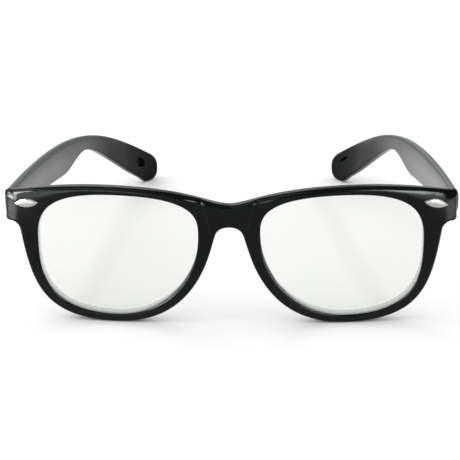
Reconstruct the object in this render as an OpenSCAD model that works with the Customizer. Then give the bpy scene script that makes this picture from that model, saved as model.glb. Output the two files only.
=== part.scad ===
// Costume glasses: a black moulded front with two clear lenses and two silver studs,
// and two black temples on three-knuckle metal hinges. They stand as on a table,
// on the rims and the temple tips, with both temples open. X is across the face,
// Y runs from the front to the temple tips, Z is up. All sizes are in millimetres.

/* [Front] */
// Overall width across the endpieces
front_w = 145; // [136:1:154]
// Width of each lens opening
lens_w = 52.1; // [46:0.1:54]
// Height of each lens opening
lens_h = 41.4; // [34:0.1:46]
// Distance between the two lens openings
nose_gap = 19.8; // [16:0.1:24]
// Height of the rim under a lens
rim_bottom = 2.7; // [2.2:0.1:5]
// Height of the brow above a lens
brow_h = 2.5; // [2.2:0.1:5]
// Width of the rim beside a lens, at the neck under the endpiece
rim_side = 5.9; // [3.5:0.1:7]
// Width of the rim beside the nose, at the bridge
rim_nose = 4.6; // [3.5:0.1:6]
// Height of the bridge at its middle
bridge_h = 7.4; // [5:0.1:9]
// How far the middle of the bridge dips below the brow
bridge_dip = 5.7; // [3:0.1:8]
// Height of the endpiece at its outer side
endpiece_h = 9; // [8:0.1:12]
// How far the endpiece's outer corner drops below the brow
corner_drop = 2.9; // [1.5:0.1:5]
// Thickness of the front
front_t = 4.2; // [4:0.1:5.5]
// Radius of the face wrap
wrap_r = 500; // [300:10:900]
// Radius of the endpiece's outer front edge
side_round = 2; // [0.5:0.1:3]
// How far the back of the endpiece stops below its top
endpiece_ledge = 0.8; // [0.3:0.1:1.2]

/* [Lenses] */
// Thickness of a lens
lens_t = 1.8; // [1.2:0.1:2]
// Depth of a lens face behind the front's face
lens_set = 1.2; // [1:0.1:1.4]
// Depth of the groove that holds a lens
groove_depth = 0.9; // [0.5:0.1:1.2]
// Play of a lens in its groove
lens_play = 0.08; // [0.05:0.01:0.15]

/* [Nose rests] */
// How far a moulded nose rest stands out behind the rim
rest_out = 2.2; // [1:0.1:4]
// Width of a nose rest
rest_w = 3.6; // [3:0.1:4.2]
// Length of a nose rest between its end centres
rest_len = 11; // [8:0.5:13]
// Height of a nose rest's lower end centre
rest_z = 15.4; // [13:0.1:17]
// Distance of a nose rest from the lens opening's inner side
rest_in = 0.8; // [0.4:0.1:1.2]

/* [Studs] */
// Length of a pointed oval stud
stud_len = 7.4; // [6:0.1:9]
// Height of a stud
stud_h = 2.9; // [2.4:0.1:3.6]
// Thickness of a stud
stud_t = 1; // [0.8:0.1:1.5]
// Depth of the moulded seat of a stud
stud_seat = 0.5; // [0.3:0.1:0.7]
// Gap round a stud in its seat
stud_gap = 0.15; // [0.1:0.01:0.3]
// Distance of a stud's middle from the endpiece's outer side
stud_in = 7.3; // [6:0.1:9]
// Height of a stud's middle above the endpiece's lower side
stud_up = 5.9; // [4:0.1:6.5]
// Tilt of the left stud, outer end down
left_stud_tilt = 4; // [0:1:12]
// Tilt of the right stud, outer end down
right_stud_tilt = 10; // [0:1:12]
// Diameter of the two pegs behind a stud
peg_d = 1; // [0.8:0.1:1.2]
// Length of the pegs
peg_len = 2; // [1.5:0.1:2.5]
// Distance between the pegs
peg_pitch = 3.4; // [2.5:0.1:3.8]
// Clearance round a peg in its hole
peg_clear = 0.04; // [0.02:0.01:0.08]

/* [Temples] */
// Length of a temple along its outer face
temple_len = 143; // [130:1:150]
// Thickness of a temple
temple_t = 4; // [3.6:0.1:4.6]
// Height of a temple at the hinge
temple_root_h = 8.6; // [8:0.1:10]
// Height of a temple at the step ahead of the ear
temple_step_h = 11.3; // [10:0.1:13]
// Height of a temple over the ear
temple_ear_h = 5.7; // [5:0.1:8]
// Height of a temple at its tip, across the tip's slope
temple_tip_h = 11.6; // [9:0.1:13]
// Distance of the step from the hinge
step_at = 57; // [50:1:64]
// Distance of the ear bend from the hinge
ear_at = 77; // [72:1:84]
// Slope of the tip, down towards its end
tip_slope = 30.5; // [26:0.5:34]
// How far a temple stands out past the endpiece
temple_out = 0.7; // [0:0.1:1]
// Inward turn of a temple at the hinge
toe_in = 2.2; // [0:0.1:4]
// Radius of a temple's inward bow
bow_r = 420; // [300:10:900]
// Distance from the hinge where the tip starts to curl in
curl_at = 118; // [105:1:125]
// Radius of the tip's inward curl
curl_r = 80; // [60:5:150]

/* [Hinges] */
// Outer diameter of a knuckle
knuckle_d = 3; // [2.6:0.1:3.2]
// Height of each of the front leaf's two knuckles
front_knuckle_h = 1.8; // [1.4:0.1:2]
// Height of the temple leaf's knuckle
temple_knuckle_h = 2; // [1.6:0.1:2.4]
// Gap between two knuckles
knuckle_gap = 0.1; // [0.06:0.01:0.15]
// Diameter of the hinge screw
screw_d = 1.3; // [1:0.1:1.5]
// Diameter of the screw's head
screw_head_d = 2.3; // [2:0.1:2.6]
// Height of the screw's head
screw_head_h = 0.6; // [0.4:0.1:0.8]
// Running clearance between the screw and the knuckles
screw_clear = 0.04; // [0.02:0.01:0.08]
// Thickness of a hinge leaf
leaf_t = 0.8; // [0.6:0.1:1]
// Height of a hinge leaf
leaf_h = 5.8; // [5:0.1:6.2]
// Length of the front leaf's plate
front_leaf_len = 6.6; // [6.2:0.1:7]
// Length of the temple leaf's plate
temple_leaf_len = 10; // [8:0.5:14]
// Diameter of the two pins that hold a leaf
pin_d = 1.2; // [0.9:0.1:1.4]
// Length of the pins
pin_len = 1.6; // [1.2:0.1:1.8]
// Clearance of a leaf and its pins in the plastic
leaf_clear = 0.04; // [0.02:0.01:0.08]
// Gap between the endpiece and an open temple
butt_gap = 0.2; // [0.15:0.05:0.4]
// Space kept round the knuckles
knuckle_space = 0.25; // [0.2:0.05:0.4]

/* [Hidden] */

$fn = 48;
wrap_fn = 1440;
curve_steps = 12;
path_step = 3;
over = 1;

// Heights in the front
lens_top = rim_bottom + lens_h;
front_top = lens_top + brow_h;
bridge_top = front_top - bridge_dip;
bridge_under = bridge_top - bridge_h;
corner_z = front_top - corner_drop;
endpiece_z = corner_z - endpiece_h;

// Distances from the middle of the face
lens_in = nose_gap / 2;
lens_out = lens_in + lens_w;
side_x = front_w / 2;

// A lens opening touches its own box at four places, given as shares of the box
top_share = 0.55;
bottom_share = 0.52;
outer_share = 0.616;
inner_share = 0.684;
lens_top_x = lens_in + top_share * lens_w;
lens_bottom_x = lens_in + bottom_share * lens_w;
lens_out_z = rim_bottom + outer_share * lens_h;
lens_in_z = rim_bottom + inner_share * lens_h;

// How far a lens corner's two handles reach towards the corner of the box, across and up
low_outer_full = [1.05, 0.34];
top_outer_full = [0.87, 0.55];
top_inner_full = [0.98, 0.45];
low_inner_full = [0.52, 0.62];

// Depth of the wrapped face behind its middle, at a distance across
function face_y(x) = wrap_r - sqrt(wrap_r * wrap_r - x * x);

// Back of the endpiece: a wall that meets the temple, and a lower seat for the hinge
wall_out = 0.7;
seat_drop = 1.1;
core_in = 1.5;
core_y = face_y(side_x) + core_in;
butt_y = face_y(side_x) + front_t + wall_out;
seat_y = butt_y - seat_drop;
temple_y = butt_y + butt_gap;

// Hinge axis, close to the temple's inner face
temple_outer_x = side_x + temple_out;
temple_inner_x = temple_outer_x - temple_t / cos(toe_in);
axis_in = 1.3;
knuckle_lift = 0.15;
hinge_x = temple_inner_x - axis_in;
hinge_y = seat_y + knuckle_d / 2 + knuckle_lift;
hinge_z = endpiece_z + endpiece_h / 2;
hinge_h = 2 * front_knuckle_h + temple_knuckle_h + 2 * knuckle_gap;
space_r = knuckle_d / 2 + knuckle_space;

// Point at t on the cubic curve from a to b with handle points p and q
function cubic(a, p, q, b, t) =
    a * pow(1 - t, 3) + 3 * p * t * pow(1 - t, 2) + 3 * q * t * t * (1 - t) + b * pow(t, 3);

// Points along that curve, without its last point
function curve(a, p, q, b, steps = curve_steps) =
    [for (i = [0 : steps - 1]) cubic(a, p, q, b, i / steps)];

// Points along an arc round c from angle a0 to a1, both ends included
function arc(c, r, a0, a1, steps = 5) =
    [for (i = [0 : steps]) c + r * [cos(a0 + (a1 - a0) * i / steps), sin(a0 + (a1 - a0) * i / steps)]];

// The points of the other half, in reverse order
function other_half(points) = [for (i = [len(points) - 1 : -1 : 0]) [-points[i][0], points[i][1]]];

// A closed anticlockwise outline with each point moved outwards by d
function grown(points, d) = [for (i = [0 : len(points) - 1])
    let (n = len(points),
        along = points[(i + 1) % n] - points[(i + n - 1) % n])
    points[i] + d * [along[1], -along[0]] / norm(along)];

// A quarter of an opening from a, where it runs along X, to b, where it runs along Z
function quarter(a, b, full) =
    curve(a, [a[0] + full[0] * (b[0] - a[0]), a[1]], [b[0], b[1] + full[1] * (a[1] - b[1])], b);

// The same from a, where it runs along Z, to b, where it runs along X
function quarter_back(a, b, full) =
    curve(a, [a[0], a[1] + full[1] * (b[1] - a[1])], [b[0] + full[0] * (a[0] - b[0]), b[1]], b);

// Right lens opening, anticlockwise from its lowest point
lens_outline = let (
        bottom = [lens_bottom_x, rim_bottom],
        outer = [lens_out, lens_out_z],
        top = [lens_top_x, lens_top],
        inner = [lens_in, lens_in_z])
    concat(
        quarter(bottom, outer, low_outer_full),
        quarter_back(outer, top, top_outer_full),
        quarter(top, inner, top_inner_full),
        quarter_back(inner, bottom, low_inner_full));

// Right half of the front's outline, from the bridge's underside round to its top.
// The reaches are shares of the curve's own width or height.
front_half = let (
        notch_r = 1.6,
        notch_lean = 0.3,
        corner_r = 1.2,
        top_r = 0.7,
        neck_drop = 2.6,
        neck_lean = 2.6,
        peak_out = 4,
        arch_reach = 1.85,
        foot_reach = 0.88,
        side_reach = 0.82,
        side_rise = 0.62,
        shoulder_reach = 0.11,
        shoulder_rise = 0.24,
        brow_reach = 0.46,
        dip_reach = 0.69,
        bridge_reach = 0.15,
        under = [0, bridge_under],
        bottom = [lens_bottom_x, 0],
        neck = [lens_out + rim_side, endpiece_z - neck_drop],
        notch_end = [side_x - corner_r - notch_lean, endpiece_z],
        shoulder = [side_x - top_r, corner_z],
        peak = [lens_top_x + peak_out, front_top],
        arch = lens_in - rim_nose,
        brow = shoulder[0] - peak[0])
    concat(
        curve(under, under + [arch_reach * arch, 0], bottom - [foot_reach * bottom[0], 0], bottom, 20),
        curve(bottom, bottom + [side_reach * (neck[0] - bottom[0]), 0],
            neck - [neck_lean, side_rise * neck[1]], neck, 16),
        curve(neck, neck + [notch_lean, notch_r], [neck[0] + notch_r, endpiece_z], notch_end, 5),
        arc([side_x - corner_r, endpiece_z + corner_r], corner_r, 270, 360),
        arc(shoulder - [0, top_r], top_r, 0, 80, 3),
        curve(shoulder, shoulder + [-shoulder_reach * brow, shoulder_rise * corner_drop],
            peak + [brow_reach * brow, 0], peak),
        curve(peak, peak - [dip_reach * peak[0], 0], [bridge_reach * peak[0], bridge_top],
            [0, bridge_top], 16),
        [[0, bridge_top]]);

// Draws an outline of X and Z through the depth from y0 to y1
module upright(y0, y1) {
    translate([0, y1, 0]) rotate([90, 0, 0]) linear_extrude(y1 - y0) children();
}

// The curved layer between two depths behind the wrapped face
module layer(depth0, depth1) {
    translate([0, wrap_r, -over]) difference() {
        cylinder(r = wrap_r - depth0, h = front_top + 2 * over, $fn = wrap_fn);
        translate([0, 0, -over])
            cylinder(r = wrap_r - depth1, h = front_top + 4 * over, $fn = wrap_fn);
    }
}

// Sets the middle of the whole object's depth over the origin
module placed() {
    translate([0, -overall_y / 2, 0]) children();
}

// side is 1 for the right and -1 for the left, seen from the front
module on_side(side) {
    if (side > 0) children();
    else mirror([1, 0, 0]) children();
}

// A pointed oval of two arcs, lying along X
module pointed_oval(length, height) {
    r = (length * length + height * height) / (4 * height);
    intersection() {
        translate([0, r - height / 2]) circle(r, $fn = 180);
        translate([0, height / 2 - r]) circle(r, $fn = 180);
    }
}

// Middle of the stud. A wall of peg_wall is kept between its pegs and the lens's groove.
peg_wall = 0.5;
stud_z = endpiece_z + stud_up;
lens_corner_x = max([for (q = lens_outline) if (q[1] > stud_z - stud_h / 2) q[0]]);
least_stud_x = lens_corner_x + groove_depth + peg_wall + (peg_pitch + peg_d) / 2;
stud_x = max(side_x - stud_in, least_stud_x);

// Places children on the face at the stud's middle, with Z out of the face
module at_stud(tilt) {
    translate([stud_x, face_y(stud_x), stud_z])
        rotate([0, 0, asin(stud_x / wrap_r)])
            rotate([90, 0, 0])
                rotate([0, 0, -tilt]) children();
}

module stud_pegs(extra_r, extra_len) {
    for (end = [-1, 1])
        translate([end * peg_pitch / 2, 0, -stud_seat - peg_len - extra_len])
            cylinder(d = peg_d + 2 * extra_r, h = peg_len + extra_len + over / 10);
}

// Seat and peg holes of a stud, with twice the gap at its pointed ends
module stud_cut(tilt) {
    at_stud(tilt) {
        translate([0, 0, -stud_seat])
            linear_extrude(stud_seat + over)
                pointed_oval(stud_len + 4 * stud_gap, stud_h + 2 * stud_gap);
        stud_pegs(peg_clear, peg_clear);
    }
}

// Front

// Rounded bar behind the nasal rim, leaning with it
module nose_rest() {
    lean = 20;
    intersection() {
        translate([lens_in + rest_w / 2 + rest_in, 0, rest_z]) rotate([0, -lean, 0]) {
            for (z = [0, rest_len])
                translate([0, 0, z]) rotate([-90, 0, 0]) cylinder(d = rest_w, h = butt_y);
            translate([-rest_w / 2, 0, 0]) cube([rest_w, butt_y, rest_len]);
        }
        layer(front_t - over, front_t + rest_out);
    }
}

// Seat of the hinge leaf, and the wall that the open temple meets
module endpiece_back() {
    h = endpiece_h - endpiece_ledge;
    seat_rim = 1;
    seat_x = hinge_x - front_leaf_len - seat_rim;
    translate([seat_x, core_y, endpiece_z])
        cube([temple_inner_x - seat_x, seat_y - core_y, h]);
    translate([temple_inner_x, core_y, endpiece_z])
        cube([side_x - temple_inner_x, butt_y - core_y, h]);
}

module side_edge_cut() {
    centre = [side_x - side_round, face_y(side_x) + side_round, -over];
    translate(centre) difference() {
        translate([0, -3 * side_round, 0])
            cube([side_round + over, 3 * side_round, front_top + 2 * over]);
        translate([0, 0, -over]) cylinder(r = side_round, h = front_top + 4 * over, $fn = 96);
    }
}

module front_frame() {
    color("#1b1c1d") placed() difference() {
        intersection() {
            upright(-over, butt_y + over) polygon(concat(front_half, other_half(front_half)));
            union() {
                layer(0, front_t);
                for (side = [-1, 1]) on_side(side) {
                    nose_rest();
                    endpiece_back();
                }
            }
        }
        for (side = [-1, 1]) on_side(side) {
            upright(-over, butt_y + over) polygon(lens_outline);
            intersection() {
                upright(-over, butt_y + over) polygon(grown(lens_outline, groove_depth));
                layer(lens_set - lens_play, lens_set + lens_t + lens_play);
            }
            side_edge_cut();
            knuckle_space();
            front_leaf_plate(leaf_clear);
            front_leaf_arms(leaf_clear);
            stud_cut(side > 0 ? right_stud_tilt : left_stud_tilt);
        }
    }
}

module lens(side) {
    color([0.93, 0.94, 0.93, 0.4]) placed() on_side(side) intersection() {
        upright(-over, butt_y + over) polygon(grown(lens_outline, groove_depth - lens_play));
        layer(lens_set, lens_set + lens_t);
    }
}

module front_stud(side) {
    tilt = side > 0 ? right_stud_tilt : left_stud_tilt;
    bevel = 0.35;
    tip_bevel = 3 * bevel;
    color("silver") placed() on_side(side) at_stud(tilt) {
        translate([0, 0, -stud_seat])
            linear_extrude(stud_t - bevel) pointed_oval(stud_len, stud_h);
        translate([0, 0, -stud_seat])
            linear_extrude(stud_t) pointed_oval(stud_len - tip_bevel, stud_h - 2 * bevel);
        stud_pegs(0, 0);
    }
}

// Hinges

// Free space round the hinge axis
module knuckle_space() {
    h = hinge_h + 2 * screw_head_h + 2 * knuckle_gap;
    translate([hinge_x, hinge_y, hinge_z - h / 2]) cylinder(r = space_r, h = h);
}

module knuckle(z0, h) {
    translate([hinge_x, hinge_y, z0]) cylinder(d = knuckle_d, h = h);
}

module screw_bore() {
    translate([hinge_x, hinge_y, hinge_z - hinge_h])
        cylinder(d = screw_d + 2 * screw_clear, h = 2 * hinge_h);
}

// Lower ends of the front leaf's two knuckles
front_knuckles_z = [hinge_z - hinge_h / 2, hinge_z + hinge_h / 2 - front_knuckle_h];

// Plate and pins of the front leaf, or with extra the pocket that they sit in
module front_leaf_plate(extra) {
    pin_edge = 1.5;
    pin_pitch = 2.8;
    translate([hinge_x - front_leaf_len - extra, seat_y - leaf_t - extra, hinge_z - leaf_h / 2 - extra])
        cube([front_leaf_len + 2 * extra, leaf_t + 2 * extra, leaf_h + 2 * extra]);
    for (i = [0, 1])
        translate([hinge_x - front_leaf_len + pin_edge + pin_pitch * i, seat_y - leaf_t / 2, hinge_z])
            rotate([90, 0, 0]) cylinder(d = pin_d + 2 * extra, h = leaf_t / 2 + pin_len + extra);
}

// Arms from the front leaf's plate to its knuckles, or with extra the slots for them
module front_leaf_arms(extra) {
    arm_w = 1.1;
    for (z = front_knuckles_z)
        translate([hinge_x - arm_w - extra, seat_y - leaf_t - extra, z - extra])
            cube([arm_w + 2 * extra, hinge_y - seat_y + leaf_t + extra, front_knuckle_h + 2 * extra]);
}

module front_hinge_leaf(side) {
    color("#b9bcbe") placed() on_side(side) difference() {
        union() {
            front_leaf_plate(0);
            front_leaf_arms(0);
            for (z = front_knuckles_z) knuckle(z, front_knuckle_h);
        }
        screw_bore();
    }
}

// Places children at the hinge, turned with the temple, so that X is 0 on its inner face
module along_temple() {
    translate([temple_inner_x, temple_y, hinge_z]) rotate([0, 0, toe_in]) children();
}

// Plate and pins of the temple leaf, or with extra the pocket that they sit in
module temple_leaf_plate(extra) {
    root_gap = 0.2;
    pin_edge = 3;
    pin_pitch = 4.4;
    y0 = space_r + hinge_y - temple_y + root_gap;
    along_temple() {
        translate([-extra, y0 - extra, -leaf_h / 2 - extra])
            cube([leaf_t + 2 * extra, temple_leaf_len + 2 * extra, leaf_h + 2 * extra]);
        for (i = [0, 1])
            translate([leaf_t / 2, y0 + pin_edge + pin_pitch * i, 0])
                rotate([0, 90, 0]) cylinder(d = pin_d + 2 * extra, h = leaf_t / 2 + pin_len + extra);
    }
}

// Arm from the temple leaf's plate to its knuckle, or with extra the slot for it
module temple_leaf_arm(extra) {
    arm_out = 0.7;
    arm_over = 0.4;
    arm_h = temple_knuckle_h;
    along_temple()
        translate([-arm_out - extra, hinge_y - temple_y, -arm_h / 2 - extra])
            cube([arm_out + leaf_t + 2 * extra, space_r + arm_over, arm_h + 2 * extra]);
}

module temple_hinge_leaf(side) {
    color("#b9bcbe") placed() on_side(side) difference() {
        union() {
            temple_leaf_plate(0);
            temple_leaf_arm(0);
            knuckle(hinge_z - temple_knuckle_h / 2, temple_knuckle_h);
        }
        screw_bore();
    }
}

module hinge_screw(side) {
    slot_w = 0.35;
    slot_d = 0.3;
    top = hinge_z + hinge_h / 2;
    color("silver") placed() on_side(side) difference() {
        translate([hinge_x, hinge_y, 0]) {
            translate([0, 0, top - hinge_h]) cylinder(d = screw_d, h = hinge_h + screw_head_h / 2);
            translate([0, 0, top]) cylinder(d = screw_head_d, h = screw_head_h);
        }
        translate([hinge_x - screw_head_d, hinge_y - slot_w / 2, top + screw_head_h - slot_d])
            cube([2 * screw_head_d, slot_w, slot_d + over]);
    }
}

// Temples

// Direction of the outer face, in degrees from straight back, at a distance from the hinge
function turn_at(s) = toe_in + s / bow_r * 180 / PI + max(0, s - curl_at) / curl_r * 180 / PI;

// Outer face of the right temple seen from above: a list of distance and place
path = [for (s = 0, p = [temple_outer_x, temple_y];
        s <= temple_len + path_step;
        p = p + path_step * [-sin(turn_at(s + path_step / 2)), cos(turn_at(s + path_step / 2))],
        s = s + path_step)
    [s, p]];

// Depth of the outer face at a distance from the hinge
function depth_at(s) = let (
        i = min(floor(s / path_step), len(path) - 2),
        f = s / path_step - i)
    path[i][1][1] * (1 - f) + path[i + 1][1][1] * f;

overall_y = depth_at(temple_len);

// Temple from the side, as distance from the hinge and height.
// The reaches are shares of the curve's own length.
temple_side = let (
        slope = 0.052,
        straight = 35,
        step_sink = 3.5,
        ear_sink = 4.5,
        tip_in = 13,
        tip_rise = 3.6,
        heel_in = 5.5,
        end_rise = 5.5,
        round_share = 0.64,
        corner = [1.5, -0.15],
        notch_reach = [0.45, 0.03],
        bend_reach = 0.3,
        ear_reach = 0.217,
        tip_reach = 0.332,
        back_reach = 0.446,
        top_reach = 0.337,
        root_top = endpiece_z + temple_root_h,
        top0 = [straight, root_top - slope * straight],
        step = [step_at, root_top - step_sink - temple_step_h],
        ear = [ear_at, top0[1] - ear_sink - temple_ear_h],
        notch = ear_at - step_at,
        down = [cos(tip_slope), -sin(tip_slope)],
        across = [sin(tip_slope), cos(tip_slope)],
        tip_low = [temple_len - tip_in, tip_rise],
        under = tip_low[0] - ear_at,
        heel = [temple_len - heel_in, 0],
        bend = heel[0] - tip_low[0],
        tip_end = [temple_len, end_rise],
        tip_top = tip_low + temple_tip_h * across,
        back = tip_top[0] - straight)
    concat(
        [[0, endpiece_z], step - corner],
        curve(step, step + notch * notch_reach, ear - [bend_reach * notch, 0], ear, 8),
        curve(ear, ear + [ear_reach * under, 0], tip_low - tip_reach * under * down, tip_low),
        curve(tip_low, tip_low + bend / 2 * down, heel - [bend / 2, 0], heel, 5),
        curve(heel, heel + [round_share * heel_in, 0], tip_end - [0, round_share * end_rise], tip_end, 5),
        curve(tip_end, tip_end + [0, round_share * end_rise], tip_top + round_share * heel_in * down,
            tip_top, 6),
        curve(tip_top, tip_top - back_reach * back * down, top0 + top_reach * back * [1, -slope], top0),
        [top0, [0, root_top]]);

module temple_plan() {
    outer = [for (q = path) q[1]];
    inner = [for (i = [len(path) - 1 : -1 : 0])
        path[i][1] - temple_t * [cos(turn_at(path[i][0])), sin(turn_at(path[i][0]))]];
    polygon(concat(outer, inner));
}

module temple(side) {
    color("#232526") placed() on_side(side) difference() {
        intersection() {
            translate([0, 0, -over]) linear_extrude(front_top + 2 * over) temple_plan();
            rotate([90, 0, 90]) linear_extrude(side_x + 2 * temple_t)
                polygon([for (q = temple_side) [depth_at(q[0]), q[1]]]);
        }
        knuckle_space();
        temple_leaf_plate(leaf_clear);
        temple_leaf_arm(leaf_clear);
    }
}

module lens_left() lens(-1);
module lens_right() lens(1);
module front_stud_left() front_stud(-1);
module front_stud_right() front_stud(1);
module front_hinge_leaf_left() front_hinge_leaf(-1);
module front_hinge_leaf_right() front_hinge_leaf(1);
module temple_hinge_leaf_left() temple_hinge_leaf(-1);
module temple_hinge_leaf_right() temple_hinge_leaf(1);
module hinge_screw_left() hinge_screw(-1);
module hinge_screw_right() hinge_screw(1);
module temple_left() temple(-1);
module temple_right() temple(1);

front_frame();
lens_left();
lens_right();
front_stud_left();
front_stud_right();
front_hinge_leaf_left();
front_hinge_leaf_right();
temple_hinge_leaf_left();
temple_hinge_leaf_right();
hinge_screw_left();
hinge_screw_right();
temple_left();
temple_right();
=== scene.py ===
"""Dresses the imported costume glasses: glossy black front and temples, clear lenses,
silver studs and small steel hinges, with the plain studio that shows them."""

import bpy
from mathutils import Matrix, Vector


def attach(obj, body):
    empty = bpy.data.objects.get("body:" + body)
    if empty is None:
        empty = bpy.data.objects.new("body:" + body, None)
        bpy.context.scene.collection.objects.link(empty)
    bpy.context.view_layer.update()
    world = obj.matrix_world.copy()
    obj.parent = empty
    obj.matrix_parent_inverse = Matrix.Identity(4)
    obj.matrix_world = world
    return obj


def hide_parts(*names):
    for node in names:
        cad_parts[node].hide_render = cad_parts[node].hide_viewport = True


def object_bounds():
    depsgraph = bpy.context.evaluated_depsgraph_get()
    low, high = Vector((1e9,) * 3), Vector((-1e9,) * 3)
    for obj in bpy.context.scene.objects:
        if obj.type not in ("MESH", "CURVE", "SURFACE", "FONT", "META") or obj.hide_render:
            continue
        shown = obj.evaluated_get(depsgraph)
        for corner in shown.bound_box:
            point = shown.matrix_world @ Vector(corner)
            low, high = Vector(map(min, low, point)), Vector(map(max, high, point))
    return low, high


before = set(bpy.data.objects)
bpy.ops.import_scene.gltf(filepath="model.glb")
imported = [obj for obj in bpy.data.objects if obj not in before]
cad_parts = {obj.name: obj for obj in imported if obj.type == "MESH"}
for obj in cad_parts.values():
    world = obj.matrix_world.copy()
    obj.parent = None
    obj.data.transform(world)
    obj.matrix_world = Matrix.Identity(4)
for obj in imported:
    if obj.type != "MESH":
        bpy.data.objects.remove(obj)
CAD_BOX = [list(corner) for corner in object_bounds()]

from math import asin, cos, pi, radians, sin, tan

import bmesh
import bpy
import numpy as np
from bpy.props import FloatProperty, FloatVectorProperty, PointerProperty
from bpy.types import Operator, Panel, PropertyGroup
from mathutils import Matrix, Vector

bl_info = {
    "name": "Costume glasses",
    "version": (1, 0, 0),
    "blender": (4, 5, 0),
    "location": "3D View > Sidebar > Glasses",
    "description": "Dresses the packed costume glasses and sets up their studio",
    "category": "Object",
}

MM = 0.001
SIDES = {"left": -1, "right": 1}

# The shapes are worked out in millimetres from the middle of the front's face.
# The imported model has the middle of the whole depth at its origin.
FACE_Y = CAD_BOX[0][1] / MM


# Settings

def size(name, text, value):
    """A length property, given in millimetres."""
    return FloatProperty(name=name, description=text, default=value * MM, unit="LENGTH", precision=5)


def angle(name, text, value):
    """An angle property, given in degrees."""
    return FloatProperty(name=name, description=text, default=radians(value), unit="ROTATION")


def colour(name, text, value):
    """A colour property."""
    return FloatVectorProperty(name=name, description=text, default=value, subtype="COLOR",
                               size=3, min=0, max=1)


class GLASSES_PG_front(PropertyGroup):
    """Sizes and colour of the moulded front."""
    width: size("Width", "Overall width across the endpieces", 145)
    lens_w: size("Lens opening width", "Width of each lens opening", 52.1)
    lens_h: size("Lens opening height", "Height of each lens opening", 41.4)
    nose_gap: size("Nose gap", "Distance between the two lens openings", 19.8)
    rim_bottom: size("Lower rim", "Height of the rim under a lens", 2.7)
    brow_h: size("Brow", "Height of the brow above a lens", 2.5)
    rim_side: size("Outer rim", "Width of the rim beside a lens", 5.9)
    rim_nose: size("Nose rim", "Width of the rim beside the nose", 4.6)
    bridge_h: size("Bridge height", "Height of the bridge at its middle", 7.4)
    bridge_dip: size("Bridge dip", "How far the bridge dips below the brow", 5.7)
    endpiece_h: size("Endpiece height", "Height of the endpiece at its outer side", 9)
    corner_drop: size("Corner drop", "How far the outer corner drops below the brow", 2.9)
    thickness: size("Thickness", "Thickness of the front", 4.2)
    wrap_r: size("Wrap radius", "Radius of the face wrap", 500)
    groove: size("Lens groove", "Depth of the groove that holds a lens", 0.9)
    edge_r: size("Front edge", "Rounding of the outer front edge", 0.9)
    corner_fall: size("Corner fall", "How far the face falls away at the endpiece's upper corner", 1.0)
    opening_r: size("Opening edge", "Rounding of the front edge round a lens", 0.45)
    back_r: size("Back edge", "Rounding of the back edges", 1.0)
    lower_side: size("Lower side", "How far the endpiece's lower side lies below the temple's", 0.7)
    open_back: size("Opened back", "How far the back of a lens opening widens below and outside", 1.2)
    side_bevel: size("Side bevel", "Width of the bevel down the endpiece's outer side", 4.2)
    side_depth: size("Side bevel depth", "Depth of that bevel at its edge", 1.4)
    panel_step: size("Bridge step", "Step between the bridge's middle panel and the rims", 0.45)
    rest_out: size("Nose rest", "How far a moulded nose rest stands out", 2.2)
    tint: colour("Plastic", "Colour of the black plastic", (0.0045, 0.0053, 0.0051))


class GLASSES_PG_lenses(PropertyGroup):
    """Sizes and tints of the two lenses."""
    thickness: size("Thickness", "Thickness of a lens", 1.8)
    set_back: size("Set back", "Depth of a lens face behind the front's face", 1.2)
    play: size("Play", "Play of a lens in its groove", 0.08)
    edge_bevel: size("Edge bevel", "Bevel round a lens edge", 0.3)
    tint: colour("Tint", "What the clear plastic lets through, at each face", (0.956, 0.961, 0.950))
    # This colour is also the colour of the painted streaks of reflection on a lens.
    haze: colour("Haze", "Colour of the faint haze on a lens", (0.52, 0.54, 0.54))
    # The band along the lower and outer edge is painted light: it shows the lens's lit edge as seen
    # through the clear lens.
    rim_w: size("Rim band", "Width of the frosted band along a lens's lower and outer edge", 0.62)
    rim_tint: colour("Rim band colour", "Colour of that band", (0.72, 0.76, 0.73))


class GLASSES_PG_studs(PropertyGroup):
    """Sizes and colour of the two pointed oval studs."""
    length: size("Length", "Length of a stud", 7.9)
    height: size("Height", "Height of a stud", 2.75)
    thickness: size("Thickness", "Thickness of a stud", 1)
    seat: size("Seat", "Depth of the moulded seat of a stud", 0.5)
    gap: size("Gap", "Gap round a stud in its seat", 0.15)
    bevel: size("Bevel", "Bevel round a stud's face", 0.42)
    peg_d: size("Pegs", "Diameter of the two pegs behind a stud", 1)
    peg_len: size("Peg length", "Length of the pegs", 2)
    peg_pitch: size("Peg distance", "Distance between the pegs", 3.4)
    from_side: size("From the side", "Distance of a stud's middle from the endpiece's side", 7.3)
    from_low: size("From below", "Height of a stud's middle above the endpiece's lower side", 5.8)
    left_in: size("Left shift", "How far the left stud sits further in", 0.15)
    right_in: size("Right shift", "How far the right stud sits further in", -0.35)
    left_tilt: angle("Left tilt", "Tilt of the left stud, outer end down", 4)
    right_tilt: angle("Right tilt", "Tilt of the right stud, outer end down", 10)
    tint: colour("Metal", "Colour of the silver studs", (0.90, 0.88, 0.84))


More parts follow.
